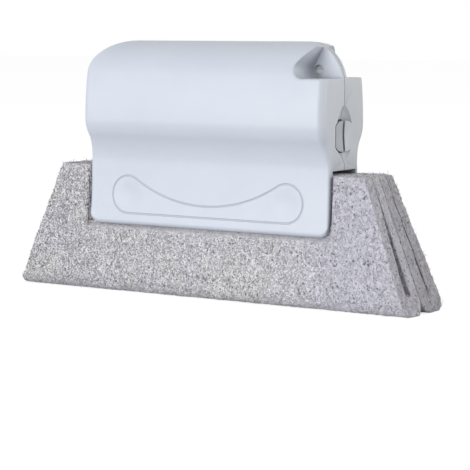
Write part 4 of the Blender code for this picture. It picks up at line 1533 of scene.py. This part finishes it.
@dataclass
class HingeFilm:
    """The thin film along the crest that joins the two halves and bends as they open."""

    form: GripForm
    node: str = "hinge_film"
    bodies: tuple[str, str] = ("front_half", "rear_half")
    edge_gap: float = 0.3 * MM
    waist: float = 0.12 * MM
    across: int = 24
    along: int = 60
    sharp_angle: float = 35.0

    def build(self, finish: SatinPolypropylene) -> Piece:
        """Make the film: a strip that follows the crown and is thinnest along its middle.

        Its top is the crown's circle, and its underside rises by the waist times one less the
        squared distance from the middle.

        Args:
            finish: The plastic.

        Returns:
            The finished film.
        """
        low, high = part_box(self.node)
        width = high[1] + self.edge_gap
        length = high[0] + self.edge_gap
        crest, radius = self.form.crest, self.form.crown_radius
        y = np.linspace(-width, width, self.across + 1)
        top = crest - radius + np.sqrt(radius ** 2 - y ** 2)
        under = low[2] - self.edge_gap + self.waist * (1 - (y / width) ** 2)
        ring = np.stack([np.concatenate([y, y[::-1]]), np.concatenate([top, under[::-1]])], axis=1)
        x = np.linspace(-length, length, self.along + 1)[:, None]
        rings = np.stack([x + 0 * ring[:, 0], ring[:, 0] + 0 * x, ring[:, 1] + 0 * x], axis=-1)
        film = skin_piece("living_hinge_film", rings)
        film.data.shade_smooth()
        film.data.set_sharp_from_angle(angle=math.radians(self.sharp_angle))
        film.data.materials.append(finish.material())
        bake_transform(film)
        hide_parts(self.node)
        log.info("%s bends between %s and %s", film.name, *self.bodies)
        return film


def vertex_arrays(piece: Piece) -> tuple[Points, Points]:
    """Read a piece's vertices and their normals.

    Args:
        piece: The piece.

    Returns:
        The places and the normals, each of shape (n, 3).
    """
    count = len(piece.data.vertices)
    places = np.empty(count * 3, np.float32)
    normals = np.empty(count * 3, np.float32)
    piece.data.vertices.foreach_get("co", places)
    piece.data.vertices.foreach_get("normal", normals)
    return places.reshape(-1, 3).astype(float), normals.reshape(-1, 3).astype(float)


@dataclass(frozen=True)
class WebRelief:
    """The scouring web's real relief: slow swells, a tangle of ridges, and open pits."""

    seed: int
    height: float = 0.18 * MM
    swell_size: float = 7.0 * MM
    swell_share: float = 0.35
    ridge_sizes: Pair = (1.7 * MM, 1.0 * MM)
    ridge_slope: float = 1.4
    ridge_share: float = 0.5
    pit_size: float = 1.4 * MM
    pit_level: float = 1.2

    def at(self, places: Points) -> Points:
        """Work out the relief from tangled fields, of which each has its own seed.

        A ridge is 1 less its slope times the size of a field, and a pit is as deep as its field
        stands above a level.

        Args:
            places: Points of shape (n, 3).

        Returns:
            Heights above the pad's even face.
        """
        swell = tangle(places, self.swell_size, self.seed)
        coarse, fine = (np.clip(1 - self.ridge_slope * np.abs(tangle(places, size, seed)), -1, 1)
                        for seed, size in enumerate(self.ridge_sizes, self.seed + 1))
        pits = np.maximum(tangle(places, self.pit_size, self.seed + 3) - self.pit_level, 0.0)
        ridges = self.ridge_share * np.maximum(coarse, fine)
        return self.height * (self.swell_share * swell + ridges - pits)


@dataclass(frozen=True)
class LooseFibres:
    """Short curved threads that stand out of the web's open faces.

    Real fibres are 0.03 to 0.05 mm thick, too fine to show in the render, so they are drawn
    0.09 to 0.16 mm thick. Lengths, rises and radii are the least and the most in millimetres.
    """

    seed: int
    count: int = 12500
    length: Pair = (0.8, 2.3)
    rise: Pair = (0.08, 0.36)
    radius: Pair = (0.045, 0.08)
    lift: float = 0.02 * MM
    sides: int = 3
    points: int = 3
    open_below: float = 0.05
    from_seam: float = 2.0 * MM

    def build(self, name: str, places: Points, normals: Points, held: Points) -> Piece:
        """Make one mesh with every thread.

        A thread's line is its root plus t times its run along the face plus 4 t (1 - t) times its
        rise along the normal, and three sides make it round enough.

        Args:
            name: The piece's name.
            places: The web's vertices of shape (n, 3).
            normals: The normals there.
            held: How firmly the skirt holds each vertex, from 0 to 1.

        Returns:
            The piece.
        """
        rng = np.random.default_rng(self.seed)
        open_face = np.where(held < self.open_below)[0]
        open_face = open_face[np.abs(places[open_face, 1]) > self.from_seam]
        chosen = rng.choice(open_face, self.count, replace=False)
        root, normal = places[chosen], normals[chosen]
        run = np.cross(normal, rng.normal(size=root.shape))
        run /= np.linalg.norm(run, axis=1, keepdims=True)
        run *= rng.uniform(*self.length, (self.count, 1)) * MM
        rise = normal * rng.uniform(*self.rise, (self.count, 1)) * MM
        t = np.linspace(0.0, 1.0, self.points)[None, :, None]
        line = (root[:, None] + t * run[:, None] + 4 * t * (1 - t) * rise[:, None]
                + self.lift * normal[:, None])
        side = np.cross(run, normal)
        side /= np.linalg.norm(side, axis=1, keepdims=True)
        radius = rng.uniform(*self.radius, (self.count, 1, 1, 1)) * MM
        angle = np.arange(self.sides)[None, None, :, None] * 2 * math.pi / self.sides
        ring = (np.cos(angle) * side[:, None, None] + np.sin(angle) * normal[:, None, None])
        points = line[:, :, None] + radius * ring
        points[..., 2] = np.maximum(points[..., 2], 0.0)
        size = self.points * self.sides
        start = np.arange(self.count)[:, None, None] * size
        quads = start + np.array(grid_faces(self.points, self.sides, wrap=True))
        last = size - self.sides
        caps = start + np.array([[2, 1, 0], [last, last + 1, last + 2]])
        mesh = bpy.data.meshes.new(name)
        mesh.from_pydata(points.reshape(-1, 3), [],
                         quads.reshape(-1, 4).tolist() + caps.reshape(-1, 3).tolist())
        mesh.shade_smooth()
        made = bpy.data.objects.new(name, mesh)
        bpy.context.scene.collection.objects.link(made)
        return made


@dataclass
class ScouringPad:
    """One folded scouring pad: a thick web bent in a U, pressed in where the skirt clamps it."""

    form: GripForm
    half: Half
    node: str
    body: str
    crevice: float
    seed: int
    top_depth: float = 9.4 * MM
    fold_rise: float = 5.2 * MM
    fold_square: float = 2.15
    foot_cut: float = 0.5 * MM
    ply_gap: float = 0.4 * MM
    crevice_close: float = 39.0 * MM
    crevice_floor: float = 6.0 * MM
    top_length: float = 127.0 * MM
    end_flare: float = 1.1 * MM
    seam_gap: float = 0.15 * MM
    seam_roll: float = 1.5 * MM
    seam_share: float = 0.25
    clamp_gap: float = 0.12 * MM
    clamp_roll: float = 1.7 * MM
    held_share: float = 0.85
    spacing: float = 0.46 * MM
    seam_points: int = 25
    fold_points: int = 46
    through_rows: int = 9
    fill: float = 0.5
    fibre_seed_step: int = 9

    def __post_init__(self) -> None:
        """Read the pad's length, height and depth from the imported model."""
        low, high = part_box(self.node)
        self.bottom_length = high[0] - low[0]
        self.height = high[2]
        self.depth = max(abs(low[1]), abs(high[1]))

    def outer_line(self) -> Points:
        """Draw the pad's outer line: down the seam face, round the fold, up the front.

        The fold is half a squared ellipse, whose cosine and sine are raised to 2 over its
        squareness, cut flat at the surface that the brush stands on.

        Returns:
            Points as (depth, z).
        """
        middle = (self.seam_gap + self.depth) / 2
        across = (self.depth - self.seam_gap) / 2
        centre = self.fold_rise - self.foot_cut
        down = np.linspace(self.height, centre, self.seam_points + 1)[:-1]
        turn = np.linspace(math.pi, 2 * math.pi, self.fold_points)
        up = np.linspace(0.0, 1.0, round((self.height - centre) / self.spacing))[1:]
        seam = np.stack([np.full_like(down, self.seam_gap), down], axis=1)
        power = 2 / self.fold_square
        out = np.sign(np.cos(turn)) * np.abs(np.cos(turn)) ** power
        level = np.maximum(centre - self.fold_rise * np.abs(np.sin(turn)) ** power, 0.0)
        fold = np.stack([middle + across * out, level], axis=1)
        front = np.stack([self.depth + (self.top_depth - self.depth) * up,
                          centre + (self.height - centre) * up], axis=1)
        return np.concatenate([seam, fold, front])

    def inner_line(self) -> Points:
        """Draw the crevice's line: closed at the top, a half circle at the bottom.

        Returns:
            As many points as the outer line has, as (depth, z).
        """
        top_middle = (self.seam_gap + self.top_depth) / 2
        middle = (self.seam_gap + self.depth) / 2
        radius = self.crevice / 2
        centre = self.crevice_floor + radius
        rest = len(self.outer_line()) - self.seam_points - self.fold_points
        legs = []
        for sign, count in ((-1, self.seam_points + 1), (1, rest + 1)):
            z = np.linspace(self.height, centre, count)
            share = (self.crevice_close - z) / (self.crevice_close - centre)
            near = top_middle + sign * self.ply_gap / 2
            far = middle + sign * radius
            depth = near + (far - near) * np.clip(share, 0.0, 1.0)
            legs.append(np.stack([depth, z], axis=1))
        angle = np.linspace(math.pi, 2 * math.pi, self.fold_points)
        bottom = np.stack([middle + radius * np.cos(angle), centre + radius * np.sin(angle)],
                          axis=1)
        return np.concatenate([legs[0][:-1], bottom, legs[1][::-1][1:]])

    def clamp(self, x: Points, z: Points) -> Points:
        """Tell how firmly the skirt holds a point, easing off past the skirt's edges.

        It is 1 less the eased distance past the skirt's end and foot, in rolls.

        Args:
            x: Places along the pad.
            z: Heights.

        Returns:
            1 behind the skirt and 0 away from it.
        """
        past_end = (np.abs(x) - self.form.half) / self.clamp_roll
        below = (self.form.skirt_foot - z) / self.clamp_roll
        past = np.sqrt(np.maximum(past_end, 0.0) ** 2 + np.maximum(below, 0.0) ** 2)
        return 1 - smooth_step(past)

    def place(self, share: Points, line: Points) -> Points:
        """Carry a line along X, leaning in with height, and press it in at the skirt.

        The half length changes evenly with height, and a point that would stand past the skirt's
        inner face moves in by the clamp's hold times what stands past it.

        Args:
            share: Places along the pad from -1 to 1.
            line: Points as (depth, z).

        Returns:
            Points of shape (m, n, 3).
        """
        form = self.form
        risen = line[:, 1] / self.height
        half_length = (self.bottom_length + (self.top_length - self.bottom_length) * risen) / 2
        half_length = half_length + self.end_flare * (1 - risen)
        x = share[:, None] * half_length
        z = line[:, 1] + 0 * x
        depth = line[:, 0] + 0 * x
        held = form.depth(np.zeros_like(z), np.clip(z, form.skirt_foot + form.foot_round, None))
        held = held - form.wall - self.clamp_gap
        depth = depth - self.clamp(x, z) * np.maximum(depth - held, 0.0)
        return np.stack([x, self.half.value * depth, z], axis=-1)

    def slab(self) -> tuple[Points, list[list[int]]]:
        """Work out the bent slab: outer face, crevice, two cut ends and the two plies' tops.

        The lines between the crevice and the outer face are the inner line plus t times its
        distance to the outer one.

        Returns:
            The points of shape (n, 3) and the faces.
        """
        outer, inner = self.outer_line(), self.inner_line()
        count = round(self.bottom_length / self.spacing)
        share = np.linspace(-1.0, 1.0, count + 1)
        lines = [inner + (outer - inner) * t for t in np.linspace(0.0, 1.0, self.through_rows)]
        skins = [self.place(share, outer), self.place(share, inner)]
        for side in (-1.0, 1.0):
            skins.append(np.stack([self.place(np.array([side]), line)[0] for line in lines]))
        for index in (0, -1):
            skins.append(np.stack([self.place(share, line[index:][:1])[:, 0] for line in lines]))
        faces, start = [], 0
        for skin in skins:
            rows, columns = skin.shape[:2]
            faces += (np.array(grid_faces(rows, columns, wrap=False)) + start).tolist()
            start += rows * columns
        return np.concatenate([skin.reshape(-1, 3) for skin in skins]), faces

    def roughen(self, pad: Piece) -> None:
        """Move each vertex along its normal by the relief, less where the web is held or touches.

        Args:
            pad: The even pad.
        """
        places, normals = vertex_arrays(pad)
        off_seam = smooth_step((np.abs(places[:, 1]) - self.seam_gap) / self.seam_roll)
        held = self.clamp(places[:, 0], places[:, 2]) * (places[:, 2] < self.form.waist_height)
        share = self.seam_share + (1 - self.seam_share) * off_seam
        share = share * (1 - self.held_share * held)
        moved = places + normals * (WebRelief(self.seed).at(places) * share)[:, None]
        moved[:, 2] = np.maximum(moved[:, 2], 0.0)
        depth = np.maximum(self.half.value * moved[:, 1], self.seam_gap / 2)
        moved[:, 1] = self.half.value * depth
        pad.data.vertices.foreach_set("co", moved.astype(np.float32).ravel())
        pad.data.update()

    def build(self, finish: ScouringWeb, threads: NylonFibre) -> list[Piece]:
        """Make the pad, roughen it and let fibres stand out.

        Args:
            finish: The web's finish.
            threads: The loose fibres' finish.

        Returns:
            The pad and its fibres.
        """
        pad = mesh_piece(self.node + "_folded_web", *self.slab())
        self.roughen(pad)
        pad.data.shade_smooth()
        pad.data.materials.append(finish.material())
        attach(pad, self.body)
        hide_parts(self.node)
        log.info("%s has %d faces", pad.name, len(pad.data.polygons))
        places, normals = vertex_arrays(pad)
        loose = LooseFibres(self.seed + self.fibre_seed_step)
        held = self.clamp(places[:, 0], places[:, 2])
        fibres = loose.build(self.node + "_loose_fibres", places, normals, held)
        fibres.data.materials.append(threads.material())
        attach(fibres, self.body)
        log.info("%s has %d threads", fibres.name, loose.count)
        return [pad, fibres]


@dataclass
class PhotoCamera:
    """The camera at the photograph's angle and distance."""

    azimuth: float = 33.77
    elevation: float = 4.33
    distance: float = 673.2 * MM
    target_height: float = 45.0 * MM
    focal_pixels: float = 1906.5
    centre_pixels: Pair = (220.85, 168.61)
    image_pixels: float = 470.0
    sensor: float = 36.0
    nearest: float = 10.0 * MM

    def build(self) -> Piece:
        """Place the camera and turn its focal length and centre from pixels to lens and shift.

        Returns:
            The camera.
        """
        a, e = math.radians(self.azimuth), math.radians(self.elevation)
        back = Vector((math.sin(a) * math.cos(e), -math.cos(a) * math.cos(e), math.sin(e)))
        data = bpy.data.cameras.new("photo_camera")
        data.sensor_width = self.sensor
        data.lens = self.focal_pixels / self.image_pixels * self.sensor
        data.shift_x = (self.image_pixels / 2 - self.centre_pixels[0]) / self.image_pixels
        data.shift_y = (self.centre_pixels[1] - self.image_pixels / 2) / self.image_pixels
        data.clip_start = self.nearest
        camera = bpy.data.objects.new("photo_camera", data)
        camera.location = Vector((0.0, 0.0, self.target_height)) + back * self.distance
        camera.rotation_euler = (-back).to_track_quat("-Z", "Y").to_euler()
        bpy.context.scene.collection.objects.link(camera)
        bpy.context.scene.camera = camera
        return camera


@dataclass(frozen=True)
class SoftLamp:
    """A soft box that looks at the middle of the brush.

    Attributes:
        name: The lamp's name.
        heading: The direction from the brush to the lamp.
        distance: How far away it hangs.
        size: Its width and height.
        power: Its power in watts.
        colour: Its linear colour.
        aim_height: The height at which it looks.
    """

    name: str
    heading: Triple
    distance: float
    size: Pair
    power: float
    colour: Triple
    aim_height: float = 50.0 * MM

    def hang(self) -> Piece:
        """Make the lamp as an area light and turn it to the brush.

        Returns:
            The lamp.
        """
        data = bpy.data.lights.new(self.name, "AREA")
        data.shape = "RECTANGLE"
        data.size, data.size_y = self.size
        data.energy = self.power
        data.color = self.colour
        lamp = bpy.data.objects.new(self.name, data)
        towards = Vector(self.heading).normalized()
        lamp.location = Vector((0.0, 0.0, self.aim_height)) + towards * self.distance
        lamp.rotation_euler = (-towards).to_track_quat("-Z", "Y").to_euler()
        bpy.context.scene.collection.objects.link(lamp)
        return lamp


@dataclass
class Studio:
    """A white floor, an even sky, a long low key lamp in front and a warm lamp by the notch."""

    floor_size: float = 8.0
    floor_drop: float = 0.05 * MM
    floor_colour: str = "efefef"
    bounce_colour: str = "cfcfcf"
    floor_glow: float = 0.62
    sky_level: float = 0.42
    key: SoftLamp = SoftLamp("key_lamp", (-0.22, -0.97, 0.08), 1.3, (1.2, 0.3), 10.4,
                             (0.985, 0.99, 1.0))
    side: SoftLamp = SoftLamp("side_lamp", (0.9, 0.42, 0.2), 1.2, (0.5, 0.4), 4.4,
                              (1.0, 0.98, 0.89))

    def floor(self) -> Piece:
        """Lay the floor just under the brush.

        The camera sees white paper with soft shadows, and a grey sheet lights the rest.

        Returns:
            The floor.
        """
        half = self.floor_size / 2
        corners = np.array([(-half, -half, 0), (half, -half, 0), (half, half, 0), (-half, half, 0)],
                           float)
        floor = mesh_piece("studio_floor", corners, [[0, 1, 2, 3]])
        floor.data.transform(Matrix.Translation((0.0, 0.0, -self.floor_drop)))
        material = bpy.data.materials.new("matt_studio_paper")
        material.use_nodes = True
        tree = material.node_tree
        tree.nodes.clear()
        paper = add_node(tree, "ShaderNodeBsdfDiffuse",
                         {"Color": linear_colour(self.floor_colour)})
        glow = add_node(tree, "ShaderNodeEmission", {"Color": WHITE, "Strength": self.floor_glow})
        seen = add_node(tree, "ShaderNodeAddShader", {}, {0: paper.outputs[0], 1: glow.outputs[0]})
        bounce = add_node(tree, "ShaderNodeBsdfDiffuse",
                          {"Color": linear_colour(self.bounce_colour)})
        path = add_node(tree, "ShaderNodeLightPath")
        mix = add_node(tree, "ShaderNodeMixShader", {},
                       {0: path.outputs["Is Camera Ray"], 1: bounce.outputs[0], 2: seen.outputs[0]})
        add_node(tree, "ShaderNodeOutputMaterial", {}, {"Surface": mix.outputs[0]})
        floor.data.materials.append(material)
        return floor

    def sky(self) -> None:
        """Light the scene evenly, and show plain white to the camera, in gloss and in glass."""
        world = bpy.data.worlds.new("studio_sky")
        world.use_nodes = True
        tree = world.node_tree
        tree.nodes.clear()
        path = add_node(tree, "ShaderNodeLightPath")
        seen = add_node(tree, "ShaderNodeMath", {"operation": "MAXIMUM"},
                        {0: path.outputs["Is Camera Ray"], 1: path.outputs["Is Glossy Ray"]})
        white = add_node(tree, "ShaderNodeMath", {"operation": "MAXIMUM"},
                         {0: seen.outputs[0], 1: path.outputs["Is Transmission Ray"]})
        light = add_node(tree, "ShaderNodeBackground", {"Color": WHITE, "Strength": self.sky_level})
        plain = add_node(tree, "ShaderNodeBackground", {"Color": WHITE, "Strength": 1.0})
        mix = add_node(tree, "ShaderNodeMixShader", {},
                       {0: white.outputs[0], 1: light.outputs[0], 2: plain.outputs[0]})
        add_node(tree, "ShaderNodeOutputWorld", {}, {"Surface": mix.outputs[0]})
        bpy.context.scene.world = world

    def build(self) -> None:
        """Set up the floor, the sky, the lamps and the plain view."""
        self.floor()
        self.sky()
        for lamp in (self.key, self.side):
            lamp.hang()
        bpy.context.scene.view_settings.view_transform = "Standard"


@dataclass(frozen=True)
class HalfPlan:
    """What differs between the two halves of the brush.

    The rear half's plastic and web are painted a little darker, painted shade, as they look
    darker beside the front half's at the brush's end. Its pad is folded tighter, so its crevice
    is narrower.
    """

    half: Half
    body: str
    shell: str
    shell_painted_shade: dict[str, str]
    pad: str
    crevice: float
    seed: int
    web_painted_shade: dict[str, str]


# The rear half's tints are painted shade: the same plastic and web in darker colours.
PLANS = (
    HalfPlan(Half.FRONT, "front_half", "front_shell", {}, "pad_front", 3.6 * MM, 11, {}),
    HalfPlan(Half.REAR, "rear_half", "rear_shell",
             {"colour": "dadfe8", "cloud_colour": "d3d8e1"}, "pad_rear", 1.2 * MM, 47,
             {"base": "cac8d5", "warm": "d1cfce", "smooth": "bdbcc7"}),
)
# The tongue's tint is painted shade: the same plastic in a darker colour.
TONGUE_PAINTED_SHADE = {"colour": "c3c8d2", "cloud_colour": "bdc2cc"}
FILM_TINT = {"colour": "dde2ec"}


def main() -> None:
    """Build the studio and every piece of the brush in order."""
    logging.basicConfig(level=logging.INFO, format="%(name)s: %(message)s")
    PhotoCamera().build()
    Studio().build()
    low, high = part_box("front_shell")
    form = GripForm(length=high[0] - low[0], crest=high[2])
    notch = HangingNotch(form)
    groove = SmileGroove(half_length=form.half)
    latches = [ThumbLatch(form, End.RIGHT, "latch_tongue_right", "latch_right"),
               ThumbLatch(form, End.LEFT, "latch_tongue_left", "latch_left")]
    film_low, film_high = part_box("hinge_film")
    for plan in PLANS:
        plastic = SatinPolypropylene(f"moulded_polypropylene_{plan.shell}", **plan.shell_painted_shade)
        shell = GripShell(form, notch, groove, latches, plan.half, plan.shell, plan.body)
        shell.build(plastic, film_low, film_high)
    for latch in latches:
        latch.build(SatinPolypropylene(f"moulded_polypropylene_{latch.node}", **TONGUE_PAINTED_SHADE))
    HingeFilm(form).build(SatinPolypropylene("flexed_polypropylene_film", **FILM_TINT))
    for plan in PLANS:
        pad = ScouringPad(form, plan.half, plan.pad, plan.body, plan.crevice, plan.seed)
        pad.build(ScouringWeb(f"bonded_nylon_web_{plan.pad}", **plan.web_painted_shade),
                  NylonFibre(f"nylon_fibre_{plan.pad}"))


if __name__ == "__main__":
    main()
